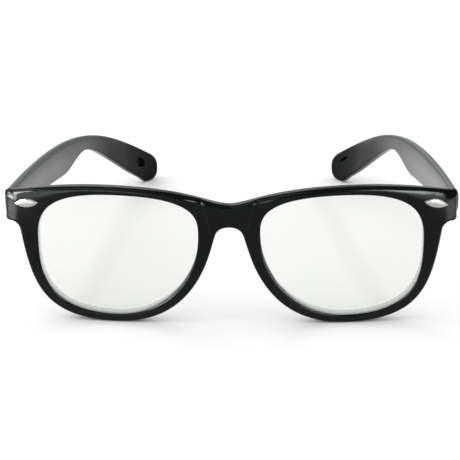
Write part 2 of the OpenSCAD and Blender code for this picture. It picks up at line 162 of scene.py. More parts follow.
class GLASSES_PG_temples(PropertyGroup):
    """Sizes and colour of the two temples."""
    length: size("Length", "Length of a temple along its outer face", 143)
    thickness: size("Thickness", "Thickness of a temple", 4)
    root_h: size("Root height", "Height at the hinge", 8.6)
    step_h: size("Step height", "Height at the step ahead of the ear", 11.3)
    ear_h: size("Ear height", "Height over the ear", 5.7)
    tip_h: size("Tip height", "Height at the tip, across its slope", 11.6)
    step_at: size("Step place", "Distance of the step from the hinge", 57)
    ear_at: size("Ear place", "Distance of the ear bend from the hinge", 77)
    tip_slope: angle("Tip slope", "Slope of the tip, down towards its end", 30.5)
    stand_out: size("Stand out", "How far a temple stands out past the endpiece", 0.7)
    toe_in: angle("Toe in", "Inward turn at the hinge", 2.2)
    bow_r: size("Bow radius", "Radius of the inward bow", 420)
    curl_at: size("Curl place", "Where the tip starts to curl in", 118)
    curl_r: size("Curl radius", "Radius of the tip's inward curl", 80)
    edge_r: size("Edge", "Rounding of the long edges", 1.2)
    low_edge_r: size("Lower edge", "Rounding of the inner face's lower edge", 0.5)
    left_mark: size("Left recess", "Half height of the small oval recess in the left tip", 1.8)
    right_mark: size("Right recess", "Half height of the slim recess in the right tip", 0.62)
    tint: colour("Plastic", "Colour of the black plastic", (0.0050, 0.0057, 0.0056))


class GLASSES_PG_hinges(PropertyGroup):
    """Sizes and colours of the two three-knuckle hinges."""
    knuckle_d: size("Knuckles", "Outer diameter of a knuckle", 3)
    front_knuckle_h: size("Outer knuckles", "Height of the front leaf's knuckles", 1.8)
    temple_knuckle_h: size("Middle knuckle", "Height of the temple leaf's knuckle", 2)
    knuckle_gap: size("Knuckle gap", "Gap between two knuckles", 0.1)
    space: size("Space", "Space kept round the knuckles", 0.25)
    screw_d: size("Screw", "Diameter of the hinge screw", 1.3)
    head_d: size("Screw head", "Diameter of the screw's head", 2.3)
    head_h: size("Screw head height", "Height of the screw's head", 0.6)
    screw_clear: size("Screw clearance", "Clearance between screw and knuckles", 0.04)
    leaf_t: size("Leaf", "Thickness of a leaf", 0.8)
    leaf_h: size("Leaf height", "Height of a leaf", 5.8)
    front_leaf_len: size("Front leaf", "Length of the front leaf's plate", 6.6)
    temple_leaf_len: size("Temple leaf", "Length of the temple leaf's plate", 10)
    pin_d: size("Pins", "Diameter of the pins that hold a leaf", 1.2)
    pin_len: size("Pin length", "Length of the pins", 1.6)
    butt_gap: size("Butt gap", "Gap between the endpiece and an open temple", 0.2)
    steel: colour("Steel", "Colour of the hinge leaves", (0.56, 0.57, 0.58))
    screw: colour("Screws", "Colour of the screws", (0.68, 0.68, 0.67))


class GLASSES_PG_studio(PropertyGroup):
    """The camera, the floor and the light."""
    camera_x: size("Camera across", "Camera's distance to the right of the middle", 17.97)
    camera_y: size("Camera ahead", "Camera's distance in front of the face", 370.67)
    camera_z: size("Camera height", "Camera's height above the floor", 179.73)
    camera_pitch: angle("Camera pitch", "How far the camera looks down", 21.57)
    camera_yaw: angle("Camera yaw", "How far the camera turns to the left", 2.72)
    camera_roll: angle("Camera roll", "Roll of the camera", -0.90)
    focal: FloatProperty(name="Focal length", description="Focal length for a 36 mm wide picture",
                         default=98.54, unit="CAMERA")
    floor: colour("Floor", "Colour of the plain pale floor", (0.55, 0.55, 0.55))


class GLASSES_PG_settings(PropertyGroup):
    """All settings of the costume glasses."""
    front: PointerProperty(type=GLASSES_PG_front)
    lenses: PointerProperty(type=GLASSES_PG_lenses)
    studs: PointerProperty(type=GLASSES_PG_studs)
    temples: PointerProperty(type=GLASSES_PG_temples)
    hinges: PointerProperty(type=GLASSES_PG_hinges)
    studio: PointerProperty(type=GLASSES_PG_studio)


class Sizes:
    """A settings group read with its lengths in millimetres."""

    def __init__(self, group):
        for key, item in group.bl_rna.properties.items():
            if item.type == "FLOAT":
                value = getattr(group, key)
                if item.is_array:
                    value = tuple(value)
                elif item.unit == "LENGTH":
                    value /= MM
                setattr(self, key, value)


def settings(name):
    """The sizes of one group of settings."""
    return Sizes(getattr(bpy.context.scene.glasses, name))


# Curves and distances. A place in a flat outline is a complex number, across + 1j * up.

def cubic(a, p, q, b, t):
    """Places on a cubic curve from a to b, as t goes from 0 to 1."""
    return a * (1 - t) ** 3 + 3 * p * t * (1 - t) ** 2 + 3 * q * t * t * (1 - t) + b * t ** 3


def bezier(a, p, q, b, count):
    """Evenly spaced places on a cubic curve from a to b, without the last one."""
    return even(cubic(a, p, q, b, np.linspace(0, 1, 400)), count)


def even(line, count):
    """The same line with count places at equal distances, without the last one."""
    run = np.concatenate([[0], np.cumsum(abs(np.diff(line)))])
    at = np.linspace(0, run[-1], count, endpoint=False)
    return np.interp(at, run, line.real) + 1j * np.interp(at, run, line.imag)


def arc(centre, r, start, end, count):
    """Places on an arc between two angles in degrees, without the last one."""
    turn = np.radians(np.linspace(start, end, count, endpoint=False))
    return centre + r * np.exp(1j * turn)


def distance(places, line):
    """Distance of each place to an open line of places."""
    a, ab = line[:-1], np.diff(line)
    squared = abs(ab) ** 2
    out = np.empty(len(places))
    chunk = 4000
    for i in range(0, len(places), chunk):
        p = places[i:i + chunk, None] - a
        t = np.clip((p * ab.conj()).real / squared, 0, 1)
        out[i:i + chunk] = abs(p - t * ab).min(1)
    return out


def rounding(d, r):
    """How far a rounded edge of radius r has dropped at a distance d from the edge."""
    return r - np.sqrt(r * r - np.clip(r - d, 0, r) ** 2)


def oval_edge(d, wide, deep):
    """How far an edge with an oval rounding has dropped at a distance d from it."""
    return deep * (1 - np.sqrt(1 - np.clip(1 - d / wide, 0, 1) ** 2))


def smooth(t):
    """Smooth step from 0 to 1 as t goes from 0 to 1."""
    t = np.clip(t, 0, 1)
    return t * t * (3 - 2 * t)


def between(a, b, part):
    """The value that lies a part of the way from a to b."""
    return a + (b - a) * part


def soft_max(a, b, blend=0.15):
    """The larger of two depths, with a soft meeting line."""
    return (a + b + np.sqrt((a - b) ** 2 + blend ** 2)) / 2


def in_box(p, x0, x1, z0, z1):
    """Signed distance into an upright rectangle, positive inside."""
    return np.minimum(np.minimum(p.real - x0, x1 - p.real), np.minimum(p.imag - z0, z1 - p.imag))


def oval_r(length, height):
    """Radius of the two arcs of a pointed oval."""
    return (length ** 2 + height ** 2) / (4 * height)


# Meshes

def new_object(name, data):
    """A new object in the scene."""
    made = bpy.data.objects.new(name, data)
    bpy.context.scene.collection.objects.link(made)
    return made


def new_mesh(name, points, faces, side=1):
    """A mesh from points in millimetres from the face, mirrored for side -1."""
    mesh = bpy.data.meshes.new(name)
    placed = (np.asarray(points, float) * (side, 1, 1) + (0, FACE_Y, 0)) * MM
    mesh.from_pydata(placed.tolist(), [], faces)
    return mesh


def finish_piece(name, mesh, material, body, slot, replaced, sharp=40):
    """Turns a mesh in place into a piece of the object."""
    mesh.name = name
    mesh.materials.clear()
    mesh.materials.append(material)
    mesh.polygons.foreach_set("use_smooth", [True] * len(mesh.polygons))
    mesh.set_sharp_from_angle(angle=radians(sharp))
    piece = new_object(name, mesh)
    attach(piece, body)
    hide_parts(replaced)
    return piece


def outwards(mesh):
    """Merges double points and turns all faces outwards."""
    bm = bmesh.new()
    bm.from_mesh(mesh)
    bmesh.ops.remove_doubles(bm, verts=bm.verts, dist=0.002 * MM)
    bmesh.ops.recalc_face_normals(bm, faces=bm.faces)
    bm.to_mesh(mesh)
    bm.free()


def ring(r, z, n):
    """Points of a level circle."""
    turn = np.linspace(0, 2 * pi, n, endpoint=False)
    return np.stack([r * np.cos(turn), r * np.sin(turn), np.full(n, z)], 1)


def closed_rings(rings, first, last):
    """Points and faces of a closed shape of rings of points, with a middle point at each end."""
    n, count = len(rings[0]), len(rings)
    at_end = (count - 1) * n
    points = np.concatenate([*rings, [first, last]])
    faces = [(k * n + j, k * n + (j + 1) % n, (k + 1) * n + (j + 1) % n, (k + 1) * n + j)
             for k in range(count - 1) for j in range(n)]
    faces += [(count * n, (j + 1) % n, j) for j in range(n)]
    faces += [(count * n + 1, at_end + j, at_end + (j + 1) % n) for j in range(n)]
    return points, faces


def split_near(bm, code, nearness, target, steps=5):
    """Splits the edges near a fine feature, down to a target length, on the face with this code."""
    reach = 0.7
    for _ in range(steps):
        bm.verts.index_update()
        co = np.array([v.co for v in bm.verts])
        here = co[:, 1] == code
        near = np.full(len(co), 99.0)
        near[here] = nearness(co[here, 0] + 1j * co[here, 2])
        picked = []
        for e in bm.edges:
            a, b = (v.index for v in e.verts)
            if here[a] and here[b]:
                length = e.calc_length()
                if length > target and min(near[a], near[b]) < reach * length:
                    picked.append(e)
        if not picked:
            break
        bmesh.ops.subdivide_edges(bm, edges=picked, cuts=1, use_grid_fill=True)


def points_and_faces(bm):
    """Points and faces of a bmesh, whose larger faces are cut first. The bmesh is freed."""
    bmesh.ops.triangulate(bm, faces=[q for q in bm.faces if len(q.verts) > 4])
    bm.verts.index_update()
    co = np.array([v.co for v in bm.verts])
    faces = [[v.index for v in q.verts] for q in bm.faces]
    bm.free()
    return co, faces


# Shared places in the front and the hinges

class Layout:
    """Places that several pieces share, worked out from the sizes, for the right side."""

    def __init__(self):
        f, t, h = settings("front"), settings("temples"), settings("hinges")
        self.front, self.hinges = f, h
        self.lens_in = f.nose_gap / 2
        self.lens_out = self.lens_in + f.lens_w
        self.side_x = f.width / 2
        self.lens_top = f.rim_bottom + f.lens_h
        self.front_top = self.lens_top + f.brow_h
        self.bridge_top = self.front_top - f.bridge_dip
        self.bridge_under = self.bridge_top - f.bridge_h
        self.corner_z = self.front_top - f.corner_drop
        self.endpiece_z = self.corner_z - f.endpiece_h
        wall_out, seat_drop, axis_in, knuckle_lift, space_over = 0.7, 1.1, 1.3, 0.15, 0.7
        self.butt_y = self.face(self.side_x) + f.thickness + wall_out
        self.seat_y = self.butt_y - seat_drop
        self.temple_y = self.butt_y + h.butt_gap
        self.temple_outer_x = self.side_x + t.stand_out
        self.temple_inner_x = self.temple_outer_x - t.thickness / cos(t.toe_in)
        self.hinge_x = self.temple_inner_x - axis_in
        self.hinge_y = self.seat_y + h.knuckle_d / 2 + knuckle_lift
        self.hinge_z = self.endpiece_z + f.endpiece_h / 2
        self.hinge_h = 2 * h.front_knuckle_h + h.temple_knuckle_h + 2 * h.knuckle_gap
        self.space_r = h.knuckle_d / 2 + h.space
        self.space_h = self.hinge_h + 2 * space_over

    def face(self, x):
        """Depth of the wrapped face behind its middle."""
        r = self.front.wrap_r
        return r - np.sqrt(r * r - x * x)

    def stud(self, name):
        """A stud's middle across and up, its lean with the wrapped face, and its tilt."""
        s = settings("studs")
        x = self.side_x - s.from_side - getattr(s, name + "_in")
        lean = asin(x / self.front.wrap_r)
        return x, self.endpiece_z + s.from_low, lean, getattr(s, name + "_tilt")

    def lens_outline(self, at):
        """Places on the right lens opening: 0 is its lowest point, then outer 1, top 2, inner 3."""
        top_share, bottom_share, outer_share, inner_share = 0.55, 0.52, 0.616, 0.684
        f = self.front
        bottom = complex(self.lens_in + bottom_share * f.lens_w, f.rim_bottom)
        outer = complex(self.lens_out, f.rim_bottom + outer_share * f.lens_h)
        top = complex(self.lens_in + top_share * f.lens_w, self.lens_top)
        inner = complex(self.lens_in, f.rim_bottom + inner_share * f.lens_h)
        reaches = ((1.05, 0.34), (0.55, 0.87), (0.98, 0.45), (0.62, 0.52))
        corners = (bottom, outer, top, inner, bottom)
        at = np.asarray(at) % 4
        out = np.zeros(len(at), complex)
        for k, (first, second) in enumerate(reaches):
            a, b = corners[k], corners[k + 1]
            if k % 2 == 0:
                p = a + first * (b - a).real
                q = b + 1j * second * (a - b).imag
            else:
                p = a + 1j * first * (b - a).imag
                q = b + second * (a - b).real
            here = (at >= k) & (at < k + 1)
            out[here] = cubic(a, p, q, b, at[here] - k)
        return out

    def front_outline(self):
        """Columns of the right half: places on the outer outline, the matching places on
        the lens opening, and whether the outline is an edge there."""
        notch_r, notch_lean, corner_r, top_r, neck_drop, neck_lean = 1.6, 0.3, 1.2, 0.7, 2.6, 2.6
        crown_reach, knee_out, knee_drop, knee_reach = 0.53, 0.85, 2.9, 1.6
        leg_reach, foot_reach = 6, 26.3
        steep = complex(0.30, -0.954)
        peak_out, side_reach, side_rise = 4, 0.82, 0.62
        shoulder_reach, shoulder_rise, brow_reach = 0.11, 0.24, 0.46
        dip_reach, bridge_reach = 0.69, 0.15
        bottom_share, top_share = 0.52, 0.55
        f = self.front
        under = complex(0, self.bridge_under)
        low_z = self.endpiece_z - f.lower_side
        bottom = complex(self.lens_in + bottom_share * f.lens_w, 0)
        neck = complex(self.lens_out + f.rim_side, low_z - neck_drop)
        notch_end = complex(self.side_x - corner_r - notch_lean, low_z)
        shoulder = complex(self.side_x - top_r, self.corner_z)
        peak = complex(self.lens_in + top_share * f.lens_w + peak_out, self.front_top)
        bridge = complex(0, self.bridge_top)
        arch = self.lens_in - f.rim_nose
        knee = complex(knee_out * arch, self.bridge_under - knee_drop)
        brow = shoulder.real - peak.real
        low_corner = complex(self.side_x - corner_r, low_z + corner_r)
        top_corner = shoulder - 1j * top_r
        side = np.array([low_corner + corner_r, top_corner + top_r])
        parts = [
            (bezier(under, under + crown_reach * arch, knee - knee_reach * steep, knee, 28),
             (2.8, 3.1)),
            (bezier(knee, knee + leg_reach * steep, bottom - foot_reach, bottom, 80), (3.1, 3.45, 4.0)),
            (bezier(bottom, bottom + side_reach * (neck.real - bottom.real),
                    neck - complex(neck_lean, side_rise * neck.imag), neck, 76), (0, 1.05)),
            (bezier(neck, neck + complex(notch_lean, notch_r),
                    complex(neck.real + notch_r, low_z), notch_end, 16), (1.05, 1.30)),
            (arc(low_corner, corner_r, 270, 360, 8), (1.30, 1.34)),
            (even(side, 14), (1.34, 1.46)),
            (arc(top_corner, top_r, 0, 80, 7), (1.46, 1.50)),
            (bezier(shoulder, shoulder + complex(-shoulder_reach * brow, shoulder_rise * f.corner_drop),
                    peak + brow_reach * brow, peak, 56), (1.50, 1.90)),
            (bezier(peak, peak - dip_reach * peak.real,
                    complex(bridge_reach * peak.real, self.bridge_top), bridge, 80), (1.90, 2.52)),
            (even(np.array([bridge, under]), 28), (2.52, 2.8)),
        ]
        outer = np.concatenate([p for p, _ in parts])
        match = []
        for p, k in parts:
            stops = (0, 0.3, 1) if len(k) > 2 else (0, 1)
            match.append(np.interp(np.linspace(0, 1, len(p), endpoint=False), stops, k))
        match = np.concatenate(match)
        edge = np.arange(len(outer)) <= len(outer) - len(parts[-1][0])
        # The brow's line runs from the shoulder to the bridge, the side's line up the endpiece
        self.brow_line = np.concatenate([parts[7][0], parts[8][0], [bridge]])
        self.side_line = np.concatenate([parts[5][0][1:], [side[1]]])
        return outer, self.lens_outline(match), edge, match


class FrontShape:
    """Depths of the front's two faces at any place of the right half."""

    # Width and depth of the brow's bevel, at distances from the middle
    bevel_at = (0, 4.5, 8, 14, 37, 49, 56, 60.5, 65, 69, 72.5)
    bevel_w = (0.8, 0.9, 1.6, 1.35, 1.25, 1.35, 2.2, 3.3, 3.9, 3.3, 1.6)
    bevel_deep = (0.5, 0.55, 0.9, 0.8, 0.8, 0.85, 1.0, 1.15, 1.2, 1.2, 1.1)
    crease_w = 0.15
    # Height of the ledge left above the hinge's seat
    ledge = 0.8

    def __init__(self, layout, name):
        self.at = layout
        self.outer, self.inner, self.edge, match = layout.front_outline()
        count = self.edge.sum()
        self.outline = self.outer[:count]
        self.opening = np.append(self.inner, self.inner[0])
        along = np.roll(self.inner, -1) - np.roll(self.inner, 1)
        self.into_rim = -1j * along / abs(along)
        # The lower and outer parts widen, the top and the nose side stay as they are
        self.widened = np.interp(match % 4, (0, 1, 1.6, 3.5, 3.9, 4), (1, 1, 0, 0, 1, 1))
        narrow = 0.3
        self.opened = self.inner + self.into_rim * (narrow + layout.front.open_back * self.widened)
        self.stud_x, self.stud_z, self.stud_lean, self.tilt = layout.stud(name)
        self.crease = np.array([complex(5.6, 31.0), complex(8.8, 43.5)])

    def bevel(self, d, w, deep):
        """Depth of a bevel that starts gently and gets steeper towards the edge."""
        first, second = 0.4, 0.6
        t = 1 - d / w
        t = (t + np.sqrt(t * t + (self.crease_w / w) ** 2)) / 2
        return deep * (first * t + second * t * t)

    def into_stud(self, p):
        """Signed distance into the outline of the stud's seat, positive inside."""
        s = settings("studs")
        length, height = s.length + 4 * s.gap, s.height + 2 * s.gap
        r = oval_r(length, height)
        local = (p.real - self.stud_x) / cos(self.stud_lean) + 1j * (p.imag - self.stud_z)
        local = local * np.exp(1j * self.tilt)
        off = 1j * (r - height / 2)
        return r - np.maximum(abs(local - off), abs(local + off))

    def past_crease(self, p):
        """Signed distance from the bridge's crease line, positive towards the rim."""
        a, b = self.crease
        along = (b - a) / abs(b - a)
        return -((p - a) * along.conjugate()).imag

    def front(self, p):
        """Depth of the front face."""
        f, at = self.at.front, self.at
        x = p.real
        top = self.bevel(distance(p, at.brow_line), np.interp(x, self.bevel_at, self.bevel_w),
                         np.interp(x, self.bevel_at, self.bevel_deep))
        side = self.bevel(distance(p, at.side_line), f.side_bevel, f.side_depth)
        # The ridge between the two bevels is rounder than the rest
        ridge, ridge_at = 1.3, 0.5
        blend = self.crease_w + ridge * np.clip(np.minimum(top, side) / ridge_at, 0, 1)
        y = at.face(x) + soft_max(top, side, blend) - self.crease_w / 2
        corner, reach = complex(at.side_x, at.corner_z + 1), 11
        y = y + f.corner_fall * np.clip(1 - abs(p - corner) / reach, 0, 1) ** 2
        fade, ramp = 5, 1.1
        past = self.past_crease(p)
        y = y + f.panel_step * smooth(past / ramp + 0.5) * (1 - smooth((past - ramp) / fade))
        y = y + rounding(distance(p, self.outline), f.edge_r)
        y = y + rounding(distance(p, self.opening), f.opening_r)
        lip = 0.16
        floor = (at.face(self.stud_x) + tan(self.stud_lean) * (x - self.stud_x)
                 + settings("studs").seat / cos(self.stud_lean))
        inside = smooth(self.into_stud(p) / lip + 0.5)
        return y + np.maximum(floor - y, 0) * inside

    def into_seat(self, p):
        """How far a place lies inside the hinge's raised seat, which fades out down the rim."""
        at, seat_rim, fade = self.at, 1, 0.08
        seat_x = at.hinge_x - at.hinges.front_leaf_len - seat_rim
        sides = np.minimum(p.real - seat_x, at.corner_z - self.ledge - p.imag)
        return np.minimum(sides, fade * (p.imag - at.endpiece_z + seat_rim))

    def back(self, p):
        """Depth of the back face."""
        f, h, at = self.at.front, self.at.hinges, self.at
        x, z = p.real, p.imag
        y = at.face(x) + f.thickness
        rest_r, rest_in, rest_low, rest_len, lean, power = 2.0, 2.6, 15.4, 11, radians(20), 2.6
        foot = complex(at.lens_in + rest_in, rest_low)
        rest = np.array([foot, foot + rest_len * complex(-sin(lean), cos(lean))])
        near = np.clip(distance(p, rest) / rest_r, 0, 1)
        y = y + f.rest_out * (1 - near ** power) ** (1 / power)
        # How steeply the seat and the wall fall away, and how softly they meet the back
        seat_slope, wall_slope, seat_soft, wall_soft, beyond = 2, 8, 0.12, 0.05, 9
        into_wall = in_box(p, at.temple_inner_x, at.side_x + beyond,
                           at.endpiece_z - beyond, at.corner_z - self.ledge)
        y = soft_max(y, at.seat_y + seat_slope * np.minimum(self.into_seat(p), 0), seat_soft)
        y = soft_max(y, at.butt_y + wall_slope * np.minimum(into_wall, 0), wall_soft)
        y = y - rounding(distance(p, self.outline), f.back_r)
        lip_r = 0.5
        y = y - rounding(distance(p, np.append(self.opened, self.opened[0])), lip_r)
        cut = np.clip(at.space_r ** 2 - (x - at.hinge_x) ** 2, 0, None)
        space = np.where((cut > 0) & (abs(z - at.hinge_z) < at.space_h / 2),
                         at.hinge_y - np.sqrt(cut), y)
        y = np.minimum(y, space)
        clear = 0.06
        pocket = in_box(p, at.hinge_x - h.front_leaf_len - clear, at.hinge_x + clear,
                        at.hinge_z - h.leaf_h / 2 - clear, at.hinge_z + h.leaf_h / 2 + clear)
        return np.where(pocket > 0, np.minimum(y, at.seat_y - h.leaf_t - clear), y)

    def fine_front(self, p):
        """How near a place is to a fine feature of the front face."""
        brow_from, crease_from, crease_low, far = 50, 4, 33, 9
        # What is added keeps the edges coarser along the brow, and their band narrower at the crease
        brow_more, crease_more = 0.1, 0.05
        brow = abs(distance(p, self.at.brow_line) - np.interp(p.real, self.bevel_at, self.bevel_w))
        brow = np.where(p.real > brow_from, brow + brow_more, far)
        crease = np.where((p.imag > crease_low) & (p.real > crease_from),
                          abs(self.past_crease(p)) + crease_more, far)
        return np.minimum(np.minimum(abs(self.into_stud(p)), brow), crease)

    def fine_back(self, p):
        """How near a place is to a fine feature of the back face."""
        h, at = self.at.hinges, self.at
        pocket = in_box(p, at.hinge_x - h.front_leaf_len, at.hinge_x,
                        at.hinge_z - h.leaf_h / 2, at.hinge_z + h.leaf_h / 2)
        space = in_box(p, at.hinge_x - at.space_r, at.hinge_x + at.space_r,
                       at.hinge_z - at.space_h / 2, at.hinge_z + at.space_h / 2)
        ramp_half, far = 0.35, 9
        wall = np.where(p.imag > at.endpiece_z, abs(p.real - at.temple_inner_x), far)
        ramp = np.maximum(abs(self.into_seat(p) + ramp_half) - ramp_half, 0)
        ramp = np.where(p.imag > at.endpiece_z, ramp, far)
        return np.minimum(np.minimum(np.minimum(abs(pocket), abs(space)), wall), ramp)


def rows(count):
    """Shares from 0 to 1 that crowd towards both ends."""
    return (1 - np.cos(np.linspace(0, pi, count + 1))) / 2


# Codes for the depth of a point until its true depth is worked out
ON_FRONT, ON_BACK, IN_WALL, BETWEEN = 0.0, 100.0, 200.0, 300.0

# Lengths that the edges near fine features are split down to
FINEST, FINE = 0.09, 0.12


def front_half(shape):
    """Points and faces of the right half of the front, with codes as depths."""
    f, l = shape.at.front, settings("lenses")
    outer, inner, edge = shape.outer, shape.inner, shape.edge
    n = len(outer)
    into_rim = inner + f.groove * shape.into_rim
    back_open, front_draft = 0.85, 0.42
    back_lip = inner + back_open * shape.widened * shape.into_rim
    front_lip = inner + front_draft * shape.widened * shape.into_rim
    groove = (l.set_back - l.play, l.set_back + l.thickness + l.play)
    wall = (0.35, 0.7)
    face_rows, back_rows = rows(26), rows(20)
    rings = [(inner + s * (outer - inner), ON_FRONT) for s in face_rows]
    first_wall = len(rings) - 1
    rings += [(outer, BETWEEN + part) for part in wall]
    first_back = len(rings)
    rings += [(outer + s * (shape.opened - outer), ON_BACK) for s in back_rows]
    rings += [(back_lip, IN_WALL + groove[1]), (into_rim, IN_WALL + groove[1]),
              (into_rim, IN_WALL + groove[0]), (front_lip, IN_WALL + groove[0])]
    points = np.concatenate([np.stack([p.real, np.full(n, code), p.imag], 1) for p, code in rings])
    faces = []
    for k in range(len(rings)):
        k2 = (k + 1) % len(rings)
        for j in range(n):
            j2 = (j + 1) % n
            if first_wall <= k < first_back and not (edge[j] and edge[j2]):
                continue
            faces.append((k * n + j, k * n + j2, k2 * n + j2, k2 * n + j))
    return points, faces


class GLASSES_OT_front(Operator):
    """Builds the glossy black front with its bevels, stud seats, hinge seats and nose rests"""
    bl_idname = "glasses.front"
    bl_label = "Front"

    def execute(self, context):
        layout = Layout()
        tint = settings("front").tint
        all_points, all_faces = [], []
        for name, side in SIDES.items():
            shape = FrontShape(layout, name)
            points, faces = front_half(shape)
            bm = bmesh.new()
            made = [bm.verts.new(p) for p in points]
            for face in faces:
                bm.faces.new([made[i] for i in face])
            split_near(bm, ON_FRONT, shape.fine_front, FINEST)
            split_near(bm, ON_BACK, shape.fine_back, FINE)
            co, faces = points_and_faces(bm)
            start = sum(len(p) for p in all_points)
            all_faces += [[start + i for i in face] for face in faces]
            p = co[:, 0] + 1j * co[:, 2]
            code = co[:, 1]
            y = layout.face(co[:, 0]) + code - IN_WALL
            on_front, on_back, between = code == ON_FRONT, code == ON_BACK, code >= BETWEEN
            y[on_front] = shape.front(p[on_front])
            y[on_back] = shape.back(p[on_back])
            first, last = shape.front(p[between]), shape.back(p[between])
            y[between] = first + (last - first) * (code[between] - BETWEEN)
            co[:, 1] = y
            all_points.append(co * (side, 1, 1))
        mesh = new_mesh("front_shell", np.concatenate(all_points), all_faces)
        outwards(mesh)
        finish_piece("front_shell", mesh, black_plastic("front_black", tint), "front",
                     "black_plastic", "front_frame")
        return {"FINISHED"}


class GLASSES_OT_lenses(Operator):
    """Builds the two clear lenses with bevelled edges"""
    bl_idname = "glasses.lenses"
    bl_label = "Lenses"

    def execute(self, context):
        layout = Layout()
        f, l = settings("front"), settings("lenses")
        outline = even(layout.lens_outline(np.linspace(0, 3.9999, 800)), 168)
        along = np.roll(outline, -1) - np.roll(outline, 1)
        out = -1j * along / abs(along)
        edge = outline + (f.groove - l.play) * out
        middle = complex(layout.lens_in + f.lens_w / 2, f.rim_bottom + f.lens_h / 2)
        inset = edge - l.edge_bevel * out
        shares = np.sin(np.linspace(0, pi / 2, 25))[1:]
        rings = [(middle + s * (inset - middle), l.set_back) for s in shares]
        rings += [(edge, l.set_back + l.edge_bevel), (edge, l.set_back + l.thickness - l.edge_bevel)]
        rings += [(middle + s * (inset - middle), l.set_back + l.thickness) for s in shares[::-1]]
        points, faces = closed_rings(
            [np.stack([r.real, np.full(len(r), depth), r.imag], 1) for r, depth in rings],
            (middle.real, l.set_back, middle.imag),
            (middle.real, l.set_back + l.thickness, middle.imag))
        points[:, 1] += layout.face(points[:, 0])
        flat = points[:, 0] + 1j * points[:, 2]
        # How far a point lies inside the visible edge, as a share of the painted band's width there
        reach = np.append(np.tile(abs(outline - middle), len(rings)), [1, 1])
        depth_in = np.sign(reach - abs(flat - middle)) * distance(flat, np.append(outline, outline[0]))
        lowness = np.clip((middle.imag - flat.imag) / (f.lens_h / 2), -1, 1)
        outness = np.clip((flat.real - middle.real) / (f.lens_w / 2), -1, 1)
        # The painted light band, which shows the lens's lit edge as seen through it, is narrower higher
        # up, and fades at the top and towards the nose
        least_w, wide_from = 0.35, -0.2
        low_from, out_from, out_gain, nose_from = -0.35, 0.45, 1.2, -1.35
        depth_in /= l.rim_w * between(least_w, 1, smooth(lowness - wide_from))
        low_or_out = np.maximum(lowness - low_from, (outness - out_from) * out_gain)
        band = smooth(low_or_out) * smooth(outness - nose_from)
        clear = lens_plastic(l)
        for name, side in SIDES.items():
            mesh = new_mesh("lens", points, faces, side)
            for label, values in (("edge_depth", depth_in), ("edge_band", band)):
                mesh.attributes.new(label, "FLOAT", "POINT").data.foreach_set("value", values)
            outwards(mesh)
            finish_piece("clear_lens_" + name, mesh, clear, "front", "clear_lens", "lens_" + name,
                         sharp=25)
        return {"FINISHED"}


def pointed_oval(length, height, count):
    """Places round a pointed oval of two arcs, with its two points among them."""
    r = oval_r(length, height)
    half = asin(length / 2 / r)
    turn = np.linspace(-half, half, count // 2, endpoint=False)
    low = r * np.sin(turn) + 1j * (r - height / 2 - r * np.cos(turn))
    return np.concatenate([low, -low])


class GLASSES_OT_studs(Operator):
    """Builds the two silver pointed oval studs with a bevelled rim and a domed face"""
    bl_idname = "glasses.studs"
    bl_label = "Studs"

    def execute(self, context):
        layout = Layout()
        s = settings("studs")
        metal = stud_metal(s.tint)
        n = 96
        top = s.thickness - s.seat
        dome = 0.1
        full = pointed_oval(s.length, s.height, n)
        face = pointed_oval(s.length - 3 * s.bevel, s.height - 2 * s.bevel, n)
        edge = 0.05
        rings = [(full, -s.seat), (full, top - s.bevel - edge),
                 (full + (face - full) * 0.12, top - s.bevel * 0.75),
                 (full + (face - full) * 0.88, top - s.bevel * 0.08 - dome),
                 (face, top - dome)]
        rings += [(face * q, top - dome * q * q) for q in (0.9, 0.75, 0.6, 0.45, 0.3, 0.15)]
        points, faces = closed_rings([np.stack([r.real, r.imag, np.full(n, z)], 1) for r, z in rings],
                                     (0, 0, -s.seat), (0, 0, top))
        peg_in, peg_bevel = 0.2, 0.15
        for end in (-1, 1):
            peg, peg_faces = round_bar(s.peg_d / 2, -s.seat - s.peg_len, peg_in - s.seat, peg_bevel)
            faces += [[len(points) + i for i in q] for q in peg_faces]
            points = np.concatenate([points, peg + (end * s.peg_pitch / 2, 0, 0)])
        for name, side in SIDES.items():
            x, z, lean, tilt = layout.stud(name)
            turn = (Matrix.Rotation(lean, 3, "Z") @ Matrix.Rotation(pi / 2, 3, "X")
                    @ Matrix.Rotation(-tilt, 3, "Z"))
            placed = points @ np.array(turn).T + (x, layout.face(x), z)
            mesh = new_mesh("stud", placed, faces, side)
            outwards(mesh)
            finish_piece("silver_stud_" + name, mesh, metal, "front", "stud_metal",
                         "front_stud_" + name, sharp=28)
        return {"FINISHED"}


def round_bar(r, z0, z1, bevel, n=24):
    """Points and faces of a closed upright bar with bevelled ends."""
    profile = ((r - bevel, z0), (r, z0 + bevel), (r, z1 - bevel), (r - bevel, z1))
    return closed_rings([ring(q, z, n) for q, z in profile], (0, 0, z0), (0, 0, z1))


# Temples

